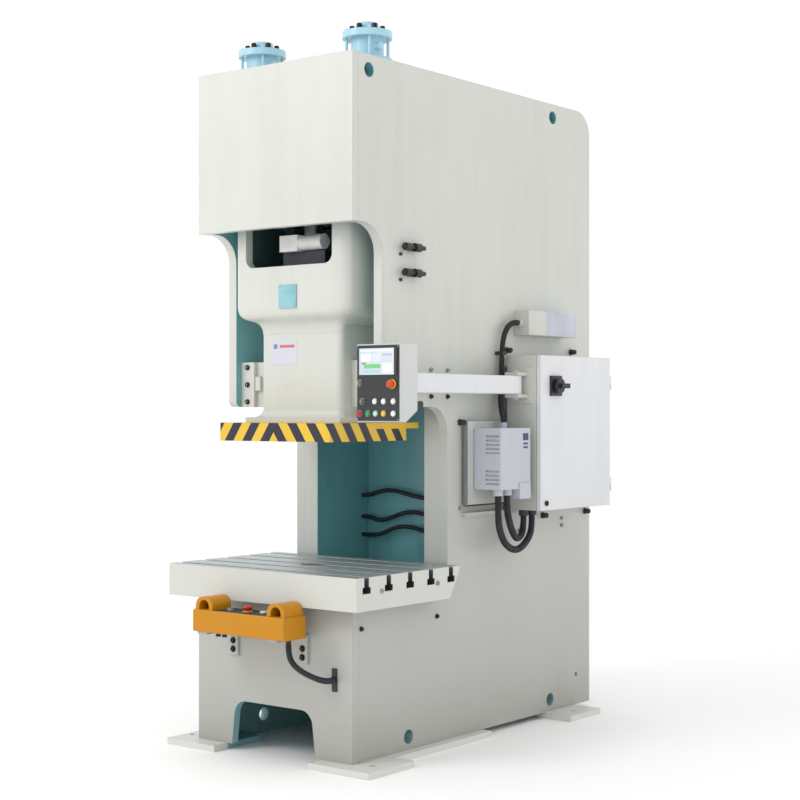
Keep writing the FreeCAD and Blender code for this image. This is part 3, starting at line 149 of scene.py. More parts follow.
# %% [markdown]
# ## A finish
# Every finish starts from the same things: where a point is on its piece, which way its face
# looks, and how near it is to a corner. The Bevel node rounds the light on sharp CAD edges, and
# where its rounded direction leaves the face's own direction there is an edge, which is where
# paint thins and handling polishes a surface.

# %% The finish class
def shade(red, green, blue):
    """A colour for nodes from 0-255 screen values."""
    shares = [value / 255 for value in (red, green, blue)]
    linear = [((s + 0.055) / 1.055) ** 2.4 if s > 0.04 else s / 12.92 for s in shares]
    return (*linear, 1.0)


class Finish(Bench):
    """A surface finish on the Principled shader."""

    def __init__(self, name, **plain):
        self.material = bpy.data.materials.new(name)
        self.material.use_nodes = True
        super().__init__(self.material.node_tree)
        self.tree.nodes.clear()
        self.shader = self.tree.nodes.new("ShaderNodeBsdfPrincipled")
        output = self.tree.nodes.new("ShaderNodeOutputMaterial")
        self.tree.links.new(self.shader.outputs[0], output.inputs[0])
        for socket, value in plain.items():
            self.shader.inputs[socket.replace("_", " ")].default_value = value
        self.place = self.node("ShaderNodeTexCoord", out="Object")
        self.facing = self.node("ShaderNodeNewGeometry", out="Normal")

    def feed(self, **signals):
        for socket, signal in signals.items():
            self.tree.links.new(signal.socket, self.shader.inputs[socket.replace("_", " ")])

    def axes(self, vector):
        split = self.node("ShaderNodeSeparateXYZ", None, {0: vector})
        outputs = split.socket.node.outputs
        return [Signal(self, outputs[i]) for i in range(3)]

    def noise(self, scale, detail=2.0, stretch=None):
        place = self.place
        if stretch:
            place = self.node("ShaderNodeVectorMath", {"operation": "MULTIPLY"},
                              {0: place, 1: stretch})
        return self.node("ShaderNodeTexNoise", None,
                         {"Vector": place, "Scale": scale, "Detail": detail})

    def mix(self, below, above, amount):
        return self.node("ShaderNodeMix", {"data_type": "RGBA"},
                         {0: amount, 6: below, 7: above}, out=2)

    def ramp(self, signal, low, high):
        """0 where signal is under low, 1 where it is over high, smooth between."""
        return self.node("ShaderNodeMapRange", {"interpolation_type": "SMOOTHSTEP"},
                         {"Value": signal, "From Min": low, "From Max": high})

    def rounded(self, radius):
        return self.node("ShaderNodeBevel", {"samples": 4}, {"Radius": radius})

    def edges(self, rounded):
        """Near 1 along sharp edges, 0 on flat faces."""
        match = self.node("ShaderNodeVectorMath", {"operation": "DOT_PRODUCT"},
                          {0: rounded, 1: self.facing}, out="Value")
        return self.ramp(1.0 - match, 0.01, 0.12)

    def bump(self, height, depth, strength, normal):
        return self.node("ShaderNodeBump", None, {"Height": height, "Distance": depth,
                                                  "Strength": strength, "Normal": normal})


print("finish class ready")

# %% [markdown]
# ## Floor and light
# The machine stands on a plain pale floor in pale surroundings, which light it from everywhere.
# One big soft lamp, high in front and to the left, adds a little to the faces that look at the
# operator, as daylight from a wide door would, and leaves the right side to the surroundings.

# %% Floor and light
floor_mesh = bpy.data.meshes.new("floor")
FAR = 40
floor_mesh.from_pydata([(-FAR, -FAR, 0), (FAR, -FAR, 0), (FAR, FAR, 0), (-FAR, FAR, 0)], [],
                       [(0, 1, 2, 3)])
floor = bpy.data.objects.new("floor", floor_mesh)
bpy.context.scene.collection.objects.link(floor)
floor_finish = Finish("studio_floor")
grain = floor_finish.noise(3.0, 3.0)
floor_finish.feed(Base_Color=floor_finish.mix(shade(254, 254, 254), shade(252, 252, 252), grain),
                  Roughness=0.75 + 0.05 * grain)
floor_mesh.materials.append(floor_finish.material)

world = bpy.data.worlds.new("studio")
world.use_nodes = True
surroundings = world.node_tree.nodes["Background"]
surroundings.inputs["Color"].default_value = (1.0, 1.0, 1.0, 1.0)
surroundings.inputs["Strength"].default_value = 1.02
bpy.context.scene.world = world
bpy.context.scene.view_settings.view_transform = "Standard"


def soft_lamp(name, place, aim, width, power):
    """A square soft lamp at a place, aimed at a point."""
    data = bpy.data.lights.new(name, "AREA")
    data.size = width
    data.energy = power
    lamp = bpy.data.objects.new(name, data)
    lamp.location = place
    lamp.rotation_euler = (Vector(aim) - Vector(place)).to_track_quat("-Z", "Y").to_euler()
    bpy.context.scene.collection.objects.link(lamp)
    return lamp


key = soft_lamp("key", (-2.6, -6.0, 6.0), (0, 0, 2.0), 2.6, 150)
print("lamp: %.0f W at %.1f m" % (key.data.energy, key.location.length))

# %% [markdown]
# ## Sprayed machine paint
# The frame, crown, slide and cabinet wear thick sprayed enamel over filler. Up close it has an
# orange-peel skin, from afar a slow drift in tone, dust low down and scuffs on its edges, and
# towards the floor its colour is painted darker, which is painted shade. One function makes the
# whole family of paints, each with its own colours, so that the frame, the teal inside, the blue
# cylinders and the cabinet stay relatives. Where two paints meet on one casting, a mask written
# as a sum of places and directions chooses between them.

# %% Paint function
DUST = shade(150, 146, 136)
PRIMER = shade(96, 94, 90)
FLOOR_SHADE_TOP = 2.3
DUST_FULL, DUST_TOP = 0.12, 0.52
PAINT_COAT = {"Coat_Weight": 0.25, "Coat_Roughness": 0.12}


def darker(colour, share):
    return (*[channel * share for channel in colour[:3]], 1.0)


def paint_layers(finish, colour, deep, gloss, peel=0.00035, edge=0.004, chips=0.5, dust=0.6,
                 grime=0.70, second=None):
    """Tone drift, edge wear, painted shade towards the floor, dust and orange peel of a sprayed
    paint.
    """
    rounded = finish.rounded(edge)
    rim = finish.edges(rounded)
    drift = finish.noise(1.3, 4.0)
    streak = finish.noise(2.2, 3.0, (6.0, 6.0, 0.7))
    patch = finish.ramp(0.6 * drift + 0.4 * streak, 0.38, 0.72)
    tone = finish.mix(colour, deep, patch)
    height = finish.axes(finish.place)[2]
    # painted shade: the colour darkens towards the floor, as if less light reached it
    floor_shade = 1.0 - finish.ramp(height + 0.25 * finish.noise(2.0, 3.0), 0.0, FLOOR_SHADE_TOP)
    tone = finish.mix(tone, darker(deep, grime), floor_shade)
    if second:
        inner_colour, mask = second
        inner_tone = finish.mix(inner_colour, darker(inner_colour, 0.72), patch)
        tone = finish.mix(tone, inner_tone, mask)
    wear = rim * finish.ramp(finish.noise(38.0, 4.0), 0.60 - 0.10 * chips, 0.68)
    worn = finish.mix(tone, PRIMER, wear * chips)
    low = 1.0 - finish.ramp(height + 0.30 * finish.noise(5.0, 5.0), DUST_FULL, DUST_TOP)
    finish.feed(Base_Color=finish.mix(worn, DUST, low * dust * 0.6),
                Roughness=gloss + 0.16 * finish.noise(7.0, 3.0) + 0.25 * low + 0.2 * wear,
                Normal=finish.bump(finish.noise(210.0, 1.0), peel, 0.28, rounded))
    return finish


def paint(name, colour, deep, gloss, **layers):
    return paint_layers(Finish(name, **PAINT_COAT), colour, deep, gloss, **layers)


CREAM, CREAM_DEEP = shade(207, 209, 202), shade(200, 202, 195)
TEAL, TEAL_DEEP = shade(118, 182, 188), shade(98, 160, 167)
LAVENDER = shade(201, 203, 218)
panel_paint = paint("panel_enamel", shade(210, 212, 210), shade(202, 204, 202), 0.30,
                    peel=0.0002, edge=0.003, chips=0.3)
finishes = {
    "cream_paint": paint("cream_enamel", CREAM, CREAM_DEEP, 0.27),
    "teal_paint": paint("teal_enamel", TEAL, TEAL_DEEP, 0.30, chips=0.3, dust=0.3),
    "blue_paint": paint("cylinder_blue", shade(172, 213, 229), shade(152, 197, 215), 0.28,
                        edge=0.002),
    "grey_paint": paint("cabinet_grey", shade(225, 227, 229), shade(217, 219, 222), 0.25,
                        peel=0.0002, edge=0.003, chips=0.3, grime=0.90),
    "drive_grey": paint("drive_unit_grey", shade(194, 197, 206), shade(184, 187, 197), 0.33,
                        edge=0.002, chips=0.3, grime=0.92),
    "motor_blue": paint("motor_blue", shade(66, 88, 116), shade(50, 70, 98), 0.36, edge=0.003),
}
print("paints:", sorted(finishes))

# %% [markdown]
# ## Castings in two paints
# Inside, the frame is teal: the inner faces of the side plates, the walls of the round holes for
# the lifting bars, the underside of the base's arch and the feet where they lie under the frame.
# The hollow of the slide gets a much darker teal, which is teal paint with painted shade inside
# the hollow. Each mask asks the same questions. How far is the point from the middle, does its
# face look inwards, and is it behind the front wall?

# %% Two-paint finishes
SKIN = 0.0006
HOLE_REACH = 0.0342
ARCH_HALF, ARCH_TOP = 0.30, 0.40
HOLLOW_HALF, HOLLOW_FRONT, HOLLOW_REAR, HOLLOW_DEEP = 0.2686, 0.0456, 0.04, 0.3006


def two_paint(name, mask_of, inner=TEAL):
    """Cream paint with another colour where the mask is 1."""
    finish = Finish(name, **PAINT_COAT)
    mask = mask_of(finish.axes(finish.place), finish.axes(finish.facing))
    return paint_layers(finish, CREAM, CREAM_DEEP, 0.27, second=(inner, mask))


plate_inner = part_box("side_plate_right")[0].x + SKIN
slide_low, slide_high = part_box("slide_body")
throat_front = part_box("throat_box")[0].y + SKIN
junction_seam = sum(corner.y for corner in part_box("junction_box")) / 2 - 0.045


def bar_hole(place, facing):
    """1 on the walls of the round holes for the lifting bars."""
    across = 0.0
    for mount in frame["record"]["mounts"]:
        if mount["name"].startswith("lift_"):
            y, z = mount["pos_m"][1:]
            near = (place[1] - y) * (place[1] - y) + (place[2] - z) * (place[2] - z)
            across = (near < HOLE_REACH ** 2) + across
    return across * (abs(facing[0]) < 0.5)


def shaded_slide_hollow(place, facing):
    return ((abs(place[0]) < HOLLOW_HALF) * (place[1] > slide_low.y + HOLLOW_FRONT)
            * (place[2] > slide_high.z - HOLLOW_DEEP) * (place[2] < slide_high.z - 0.001)
            * (place[1] < slide_high.y - HOLLOW_REAR))


def plate_inside(place, facing):
    inward = (abs(place[0]) < plate_inner) * ((place[0] * facing[0]) < -0.1)
    return inward + bar_hole(place, facing)


def wall_inside(place, facing):
    reveal = (abs(facing[1]) < 0.5) * (abs(place[0]) < ARCH_HALF) * (place[2] < ARCH_TOP)
    return (facing[1] > 0.5) + reveal


foot_finish = Finish("foot_enamel", **PAINT_COAT)
foot_place = foot_finish.axes(foot_finish.place)
front_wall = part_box("crown_front")[0].y + 0.002
under_frame = (abs(foot_place[0]) < plate_inner) * (foot_place[1] > front_wall)
paint_layers(foot_finish, shade(232, 234, 230), shade(220, 222, 217), 0.30, dust=0.25, grime=0.97,
             second=(TEAL, under_frame))
plate_finish = two_paint("frame_plate", plate_inside)
wall_finish = two_paint("front_wall", wall_inside)
# the slide's hollow is teal darkened far below the frame's teal: painted shade inside the hollow
slide_finish = two_paint("slide_casting", shaded_slide_hollow, shade(58, 84, 84))
column_finish = two_paint("throat_column", lambda place, facing: place[1] > throat_front)
junction_finish = two_paint("junction_cover", lambda place, facing: place[1] > junction_seam,
                            LAVENDER)
special = {"side_plate_left": plate_finish, "side_plate_right": plate_finish,
           "crown_front": wall_finish, "base_front": wall_finish, "slide_body": slide_finish,
           "throat_box": column_finish, "junction_box": junction_finish, "shoes": foot_finish,
           "cabinet_body": finishes["cream_paint"], "panel_box": panel_paint}
print("pieces with a finish of their own:", len(special))

# %% [markdown]
# ## Cast, turned and machined metal
# Cast iron is dark and grainy; turned steel carries fine rings or brush lines and a thin film of
# oil. One function lays brush lines along a chosen direction, lets oil change the roughness and
# brightens the edges that handling has polished.

# %% Metal function
HANDLED = shade(214, 214, 212)


def metal(name, colour, deep, rough, grain=(60.0, 60.0, 900.0), edge=0.0015, metallic=1.0):
    finish = Finish(name, Metallic=metallic)
    rounded = finish.rounded(edge)
    lines = finish.noise(1.0, 2.0, grain)
    oil = finish.ramp(finish.noise(9.0, 4.0), 0.45, 0.70)
    tone = finish.mix(colour, deep, 0.35 * lines + 0.65 * oil)
    finish.feed(Base_Color=finish.mix(tone, HANDLED, 0.5 * finish.edges(rounded)),
                Roughness=rough + 0.16 * lines - 0.10 * oil,
                Normal=finish.bump(lines, 0.0001, 0.35, rounded))
    return finish


finishes["steel"] = metal("turned_steel", shade(186, 188, 190), shade(150, 153, 156), 0.30)
finishes["gear_steel"] = metal("hobbed_steel", shade(142, 143, 146), shade(106, 106, 108), 0.34)
finishes["iron"] = metal("grey_iron", shade(112, 113, 115), shade(82, 83, 85), 0.46,
                         (160.0, 160.0, 160.0))
zinc = metal("zinc_plate", shade(178, 180, 178), shade(140, 143, 140), 0.28, (90.0, 90.0, 90.0),
             0.0008)
special["panel_key"] = special["panel_selector"] = zinc
blackened = metal("blackened_steel", shade(52, 53, 56), shade(34, 35, 38), 0.38,
                  (120.0, 120.0, 120.0), 0.0008)
print("metals ready")

# %% [markdown]
# ## Plastic and rubber
# Moulded plastic has an even colour, a fine spark texture and a slightly glossier rim where
# fingers rub it. Rubber is darker and duller. The pattern sizes are those
# of real mouldings, about half a millimetre.

# %% Plastic and rubber function
def moulded(name, colour, deep, rough, spark=1500.0, depth=0.00006):
    finish = Finish(name)
    rounded = finish.rounded(0.0012)
    rim = finish.edges(rounded)
    grain = finish.noise(spark, 1.0)
    drift = finish.ramp(finish.noise(16.0, 4.0), 0.35, 0.75)
    tone = finish.mix(colour, deep, 0.7 * drift + 0.3 * grain)
    finish.feed(Base_Color=finish.mix(tone, colour, rim),
                Roughness=rough + 0.12 * drift - 0.08 * rim,
                Normal=finish.bump(grain, depth, 0.4, rounded))
    return finish


MOULDED = {
    "black_plastic": ("black_plastic", (44, 44, 47), (30, 30, 33), 0.36),
    "black_rubber": ("black_rubber", (40, 42, 50), (26, 27, 32), 0.50, 700.0, 0.0001),
    "grey_plastic": ("grey_plastic", (128, 130, 134), (110, 112, 116), 0.36),
    "switch_navy": ("switch_navy", (34, 38, 54), (22, 25, 38), 0.34),
    "navy_paint": ("navy_casting", (46, 50, 66), (32, 36, 50), 0.38, 500.0, 0.0002),
    "red": ("red_cap", (196, 34, 40), (168, 24, 30), 0.26),
    "white": ("white_cap", (236, 236, 232), (222, 222, 218), 0.28),
    "green": ("green_cap", (62, 158, 92), (44, 136, 76), 0.26),
    "yellow": ("yellow_cap", (240, 196, 60), (220, 172, 44), 0.26),
    "clear_green": ("clear_green_cap", (196, 230, 206), (168, 212, 184), 0.20),
    "dark_face": ("keypad_film", (50, 52, 54), (40, 42, 45), 0.30, 1200.0, 0.00003),
}
for slot_name, (name, colour, deep, *rest) in MOULDED.items():
    finishes[slot_name] = moulded(name, shade(*colour), shade(*deep), *rest)
print("plastics ready")

# %% [markdown]
# ## The striped slide edge
# The plate under the slide is painted in warning stripes that lean towards the middle and meet
# there in a point. On the right-hand face the same stripes run on. Written as a sum this is
# simple: add the distance from the middle, the distance back from the front and a share of the
# height, and every stripe is a whole step of that sum. The ledge at the back is plain yellow,
# and the underside, which carries the die, is bare ground metal.

# %% Stripe finish
pad_low, pad_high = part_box("slide_pad")
stripes = Finish("warning_stripes", Coat_Weight=0.2, Coat_Roughness=0.15)
x, y, z = stripes.axes(stripes.place)
face_z = stripes.axes(stripes.facing)[2]
STRIPE_PITCH, STRIPE_LEAN, STRIPE_START = 0.1135, 0.67, 0.029
LEDGE_BACK, LEDGE_DEEP = 0.293, 0.0281
sum_along = (abs(x) + (y - pad_low.y) + STRIPE_LEAN * (z - pad_high.z)
             - STRIPE_START + 20 * STRIPE_PITCH)
waver = 0.0022 * stripes.noise(30.0, 2.0)
stripe_count = (sum_along + waver) / STRIPE_PITCH
dark = stripe_count.math("FRACT", stripe_count) > 0.5
ledge = (y > pad_low.y + LEDGE_BACK) * (z > pad_high.z - LEDGE_DEEP)
striped = dark * (1.0 - ledge) * (abs(face_z) < 0.5)
yellow = stripes.mix(shade(232, 194, 46), shade(216, 174, 40), stripes.noise(6.0, 4.0))
navy = stripes.mix(shade(30, 33, 52), shade(22, 24, 40), stripes.noise(9.0, 4.0))
pad_round = stripes.rounded(0.003)
pad_rim = stripes.edges(pad_round)
scuff = pad_rim * stripes.ramp(stripes.noise(45.0, 4.0), 0.50, 0.66)
coloured = stripes.mix(stripes.mix(yellow, navy, striped), shade(120, 118, 110), 0.6 * scuff)
ground = stripes.ramp(0.0 - face_z, 0.6, 0.9)
stripes.feed(Base_Color=stripes.mix(coloured, shade(150, 153, 154), ground), Metallic=ground,
             Roughness=0.30 + 0.14 * stripes.noise(8.0, 3.0) + 0.2 * scuff,
             Normal=stripes.bump(stripes.noise(200.0, 1.0) + 0.8 * dark, 0.0003, 0.25, pad_round))
finishes["hazard_paint"] = stripes
print("stripes across the front:", round((pad_high.x - pad_low.x) / STRIPE_PITCH, 1))

# %% [markdown]
# ## The bolster
# The bolster is one thick iron plate. Its top and its T-slots are milled, which leaves fine
# parallel cutter lines and a grey sheen; its front and side faces are painted like the frame.
# The finish looks at where a face is and which way it looks to choose between the two. Down
# inside the T-slots the milled grey is painted darker, as painted shade.

# %% Bolster finish
plate_low, plate_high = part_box("bolster")
bolster = Finish("milled_bolster")
x, y, z = bolster.axes(bolster.place)
face_x, face_y, face_z = bolster.axes(bolster.facing)
outer_x = (abs(x) > plate_high.x - SKIN) * (abs(face_x) > 0.7)
outer_front = (y < plate_low.y + SKIN) * (face_y < -0.7)
outer_back = (face_y > 0.3) * (y > plate_high.y - 0.16) * (z < plate_high.z - 0.0755)
sides = outer_front.either(outer_x).either(outer_back)
bolster_round = bolster.rounded(0.003)
rim = bolster.edges(bolster_round)
cutter = bolster.node("ShaderNodeTexWave", {"bands_direction": "Y"},
                      {"Vector": bolster.place, "Scale": 26.0, "Distortion": 0.6, "Detail": 2.0},
                      out="Fac")
swirl = bolster.noise(1.0, 3.0, (3.0, 60.0, 3.0))
iron = bolster.mix(shade(196, 202, 201), shade(170, 178, 178),
                   0.5 * swirl + 0.5 * bolster.noise(5.0, 5.0))
# painted shade: below the milled top the T-slots are painted darker
slot_shade = 1.0 - bolster.ramp(z, plate_high.z - 0.012, plate_high.z - 0.001)
slot_shaded = bolster.mix(iron, shade(52, 56, 60), 0.75 * slot_shade)
enamel = bolster.mix(CREAM, CREAM_DEEP, bolster.noise(1.6, 4.0))
chip = rim * bolster.ramp(bolster.noise(42.0, 4.0), 0.50, 0.64)
coated = bolster.mix(slot_shaded, enamel, sides)
skin_height = cutter * (1.0 - sides) + 0.5 * bolster.noise(210.0, 1.0)
bolster.feed(Base_Color=bolster.mix(coated, shade(150, 152, 152), 0.6 * chip),
             Metallic=0.75 * (1.0 - sides), Roughness=0.36 + 0.14 * swirl - 0.06 * sides,
             Normal=bolster.bump(skin_height, 0.00012, 0.3, bolster_round))
finishes["machined_iron"] = bolster
print("bolster:", [round(v, 3) for v in plate_high - plate_low])

# %% [markdown]
# ## The two-hand station and the plain plate
# The station is enamelled orange, with a dark lid between its two hoods and a dark base. Both
# dark places are flat bands of height, so the mask asks how high a point is. The square plate on
# the slide is thin, pale, brushed metal with nothing on it.

# %% Station and plate finishes
HOOD_HIGH, LID_HALF, BASE_HIGH = 0.058, 0.166, 0.0236
station_low, station_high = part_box("station_box")
station_top = station_high.z - HOOD_HIGH
orange = Finish("station_orange", Coat_Weight=0.08, Coat_Roughness=0.2, Specular_IOR_Level=0.3)
x, y, z = orange.axes(orange.place)
looks_up = orange.axes(orange.facing)[2] > 0.9
lid = (abs(z - station_top) < 0.0005) * (abs(x) < LID_HALF) * looks_up
finishes["orange_paint"] = paint_layers(
    orange, shade(207, 143, 4), shade(196, 131, 2), 0.34, peel=0.0002, chips=0.25, dust=0.0,
    grime=0.95, second=(shade(46, 47, 50), lid.either(z < station_low.z + BASE_HIGH)))
finishes["bare_plate"] = metal("blank_plate", shade(150, 200, 206), shade(124, 178, 186), 0.30,
                               (20.0, 20.0, 700.0), 0.0008, metallic=0.35)
print("station: %.3f m wide" % (station_high.x - station_low.x))

# %% [markdown]
# ## The lit screen
# The screen is glass with a dark border and a lit picture of plain tiles and bars, as an idle
# machine page looks from a few steps away. Each tile is a box in the screen's own shares, 0 to 1
# across and down, and its mask mixes one colour over the last. The same picture feeds the
# emission, because a screen makes its own light.

# %% Screen finish
screen_low, screen_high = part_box("panel_screen")
screen = Finish("screen_glass", Coat_Weight=0.7, Coat_Roughness=0.05, Emission_Strength=0.42)
x, y, z = screen.axes(screen.place)
PICTURE_WIDE, MARGIN_SIDE, MARGIN_TOP = 0.194, 0.006, 0.003
across = (x - (screen_low.x + MARGIN_SIDE)) / PICTURE_WIDE
down = ((screen_high.z - MARGIN_TOP) - z) / (screen_high.z - screen_low.z - 2 * MARGIN_TOP)


def tile(left, right, top, bottom):
    return (across > left) * (across < right) * (down > top) * (down < bottom)


picture = screen.mix(shade(206, 214, 232), shade(222, 232, 226), across)
TILES = [((236, 240, 244), (0.03, 0.97, 0.04, 0.13)), ((238, 242, 248), (0.05, 0.34, 0.20, 0.50)),
         ((226, 232, 246), (0.37, 0.63, 0.20, 0.50)), ((190, 200, 222), (0.66, 0.95, 0.20, 0.30)),
         ((214, 222, 236), (0.66, 0.95, 0.34, 0.50)), ((122, 206, 122), (0.14, 0.62, 0.60, 0.76)),
         ((150, 140, 120), (0.07, 0.20, 0.54, 0.60)), ((176, 218, 226), (0.10, 0.62, 0.82, 0.93)),
         ((240, 244, 246), (0.68, 0.95, 0.58, 0.93))]
for colour, corners in TILES:
    picture = screen.mix(picture, shade(*colour), tile(*corners))
lit = tile(0.0, 1.0, 0.0, 1.0)
smear = screen.ramp(screen.noise(9.0, 5.0), 0.45, 0.75)
dark_rim = shade(34, 36, 40)
screen.feed(Base_Color=screen.mix(dark_rim, screen.mix(dark_rim, picture, 0.55), lit),
            Emission_Color=screen.mix((0.0, 0.0, 0.0, 1.0), picture, lit),
            Roughness=0.10 + 0.14 * smear)
finishes["screen"] = screen
print("screen picture %.3f m wide, %d tiles" % (PICTURE_WIDE, len(TILES)))

# %% [markdown]
# ## Finishes go on the CAD pieces
# The record says which finish slot each CAD piece has, through its material's name. Each slot's
# finish replaces the plain packed one, and the two-paint castings get their own.

# %% Assign the finishes
for name, piece in nodes.items():
    for slot in piece.material_slots:
        chosen = special.get(name, finishes[slot.material.name.split(".")[0]])
        slot.material = chosen.material
print("finished CAD pieces:", sum(bool(p.material_slots) for p in nodes.values()))

# %% [markdown]
# ## Keeping a new piece
# Every new piece ends the same way: a mesh in its place, one finish and a body it rides on. One
# function does that and prints the piece's face count.

# %% Keep a piece
def keep(name, mesh, finish, body, replaces=()):
    """Links a mesh as a piece of the press."""
    piece = bpy.data.objects.new(name, mesh)
    bpy.context.scene.collection.objects.link(piece)
    mesh.materials.clear()
    mesh.materials.append(finish.material)
    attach(piece, body)
    if replaces:
        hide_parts(*replaces)
    print("%-22s %6d faces on %s" % (name, len(mesh.polygons), body))


def finish_bmesh(name, build):
    """A mesh from a bmesh, with its normals turned outwards."""
    bmesh.ops.recalc_face_normals(build, faces=build.faces)
    mesh = bpy.data.meshes.new(name)
    build.to_mesh(mesh)
    build.free()
    return mesh

# %% [markdown]
# ## Geometry Nodes recipes
# Screws, rings and ribs repeat. A recipe is a Geometry Nodes tree with named inputs for its
# sizes; it is run on a few points or a curve, and the result is kept as a plain mesh, because
# instances don't travel in an exported model.

# %% Recipe class
SOCKETS = {"geometry": "NodeSocketGeometry", "size": "NodeSocketFloat", "count": "NodeSocketInt",
           "finish": "NodeSocketMaterial"}


class Recipe(Bench):
    """A Geometry Nodes tree with named inputs."""

    def __init__(self, name, **inputs):
        super().__init__(bpy.data.node_groups.new(name, "GeometryNodeTree"))
        kinds = {"Geometry": "geometry", **inputs, "Finish": "finish"}
        for label, kind in kinds.items():
            self.tree.interface.new_socket(name=label, in_out="INPUT", socket_type=SOCKETS[kind])
        self.tree.interface.new_socket(name="Geometry", in_out="OUTPUT",
                                       socket_type=SOCKETS["geometry"])
        self.keys = {item.name: item.identifier for item in self.tree.interface.items_tree
                     if item.in_out == "INPUT"}
        entry = self.tree.nodes.new("NodeGroupInput")
        self.given = {label: Signal(self, entry.outputs[label]) for label in kinds}

    def raised(self, geometry, height):
        """The geometry moved up by a height."""
        lift = self.node("ShaderNodeCombineXYZ", None, {2: height})
        return self.node("GeometryNodeTransform", None, {0: geometry, 1: lift})

    def on_points(self, geometry):
        """A copy on each given point, turned to the way that the point looks."""
        looks = self.node("GeometryNodeInputNamedAttribute", {"data_type": "FLOAT_VECTOR"},
                          {"Name": "facing"})
        aim = self.node("FunctionNodeAlignRotationToVector", {"axis": "Z"}, {"Vector": looks})
        return self.node("GeometryNodeInstanceOnPoints", None,
                         {0: self.given["Geometry"], 2: geometry, 5: aim})

    def circle(self, around, radius):
        return self.node("GeometryNodeCurvePrimitiveCircle", None,
                         {"Resolution": around, "Radius": radius})

    def tube(self, section, scale):
        """The given curve in equal steps, with a section swept along it."""
        steps = self.node("GeometryNodeResampleCurve", {"mode": "LENGTH"},
                          {"Curve": self.given["Geometry"], "Length": self.given["Step"]})
        return self.node("GeometryNodeCurveToMesh", None,
                         {"Curve": steps, "Profile Curve": section, "Scale": scale,
                          "Fill Caps": True})

    def end(self, geometry, smooth=False):
        real = self.node("GeometryNodeRealizeInstances", None, {0: geometry})
        shaded = self.node("GeometryNodeSetShadeSmooth", None, {0: real, 2: smooth})
        dressed = self.node("GeometryNodeSetMaterial", None, {0: shaded, 2: self.given["Finish"]})
        exit_node = self.tree.nodes.new("NodeGroupOutput")
        self.tree.links.new(dressed.socket, exit_node.inputs[0])

    def run(self, name, source, finish, body, slot_name, replaces=(), **values):
        """Runs the recipe on a mesh or curve and keeps a plain mesh."""
        holder = bpy.data.objects.new(name + "_source", source)
        bpy.context.scene.collection.objects.link(holder)
        modifier = holder.modifiers.new("recipe", "NODES")
        modifier.node_group = self.tree
        for label, value in values.items():
            modifier[self.keys[label]] = value
        modifier[self.keys["Finish"]] = finish.material
        graph = bpy.context.evaluated_depsgraph_get()
        mesh = bpy.data.meshes.new_from_object(holder.evaluated_get(graph), depsgraph=graph)
        holder.modifiers.remove(modifier)
        bpy.data.objects.remove(holder)
        keep(name, mesh, finish, body, replaces)


def points_mesh(name, places, facing):
    """Loose points that all carry the direction in which their copies look."""
    mesh = bpy.data.meshes.new(name)
    mesh.from_pydata(places, [], [])
    looks = mesh.attributes.new("facing", "FLOAT_VECTOR", "POINT")
    looks.data.foreach_set("vector", list(facing) * len(places))
    return mesh


print("recipe class ready")

# %% [markdown]
# ## Screws
# A cap screw is a short turned head with a chamfer, a socket sunk in its top and a washer under
# it. With six sides and a shallow dimple the same recipe gives a hexagon head; HEXAGON holds its
# sides and the dimple's width and depth, as shares of the head's. The recipe starts from
# Blender's cylinder, raises and narrows its top twice, then sinks the middle.

# %% Screw recipe
screw = Recipe("screw", Sides="count", Head="size", Tall="size", Socket="size", Sink="size",
               Washer="size", Thick="size")
given = screw.given
shank = screw.node("GeometryNodeMeshCylinder", None,
                   {"Vertices": given["Sides"], "Radius": given["Head"],
                    "Depth": 0.85 * given["Tall"]})
top = Signal(screw, shank.socket.node.outputs["Top"])
chamfer = screw.node("GeometryNodeExtrudeMesh", None,
                     {0: shank, 1: top, 3: 0.15 * given["Tall"], 4: False})
crown = Signal(screw, chamfer.socket.node.outputs["Top"])
narrow = screw.node("GeometryNodeScaleElements", None, {0: chamfer, 1: crown, 2: 0.86})
flat = screw.node("GeometryNodeExtrudeMesh", None, {0: narrow, 1: crown, 3: 0.0, 4: False})
middle = Signal(screw, flat.socket.node.outputs["Top"])
inset = screw.node("GeometryNodeScaleElements", None, {0: flat, 1: middle, 2: given["Socket"]})
sunk = screw.node("GeometryNodeExtrudeMesh", None,
                  {0: inset, 1: middle, 3: 0.0 - given["Sink"], 4: False})
washer = screw.node("GeometryNodeMeshCylinder", None,
                    {"Vertices": 20, "Radius": given["Washer"], "Depth": given["Thick"]})
whole = screw.tree.nodes.new("GeometryNodeJoinGeometry")
for part in (screw.raised(sunk, 0.425 * given["Tall"] + given["Thick"]),
             screw.raised(washer, 0.5 * given["Thick"])):
    screw.tree.links.new(part.socket, whole.inputs[0])
screw.end(screw.on_points(Signal(screw, whole.outputs[0])))


def screws(name, places, facing, finish, body, slot_name="steel", head=0.006, tall=0.006, sides=18,
           socket=0.55, sink=0.6, washer=1.6):
    screw.run(name, points_mesh(name, places, facing), finish, body, slot_name, Sides=sides,
              Head=head, Tall=tall, Socket=socket, Sink=sink * tall, Washer=washer * head,
              Thick=0.25 * tall)


HEXAGON = (6, 0.8, 0.08)
print("screw recipe nodes:", len(screw.tree.nodes))

# %% [markdown]
# ## Screws on the frame, gibs and brackets
# The side plate, the guide rails and the brackets of the two-hand station are bolted, and the
# cylinders' caps are held by hexagon heads in a ring. The bolster's side has two plugs.

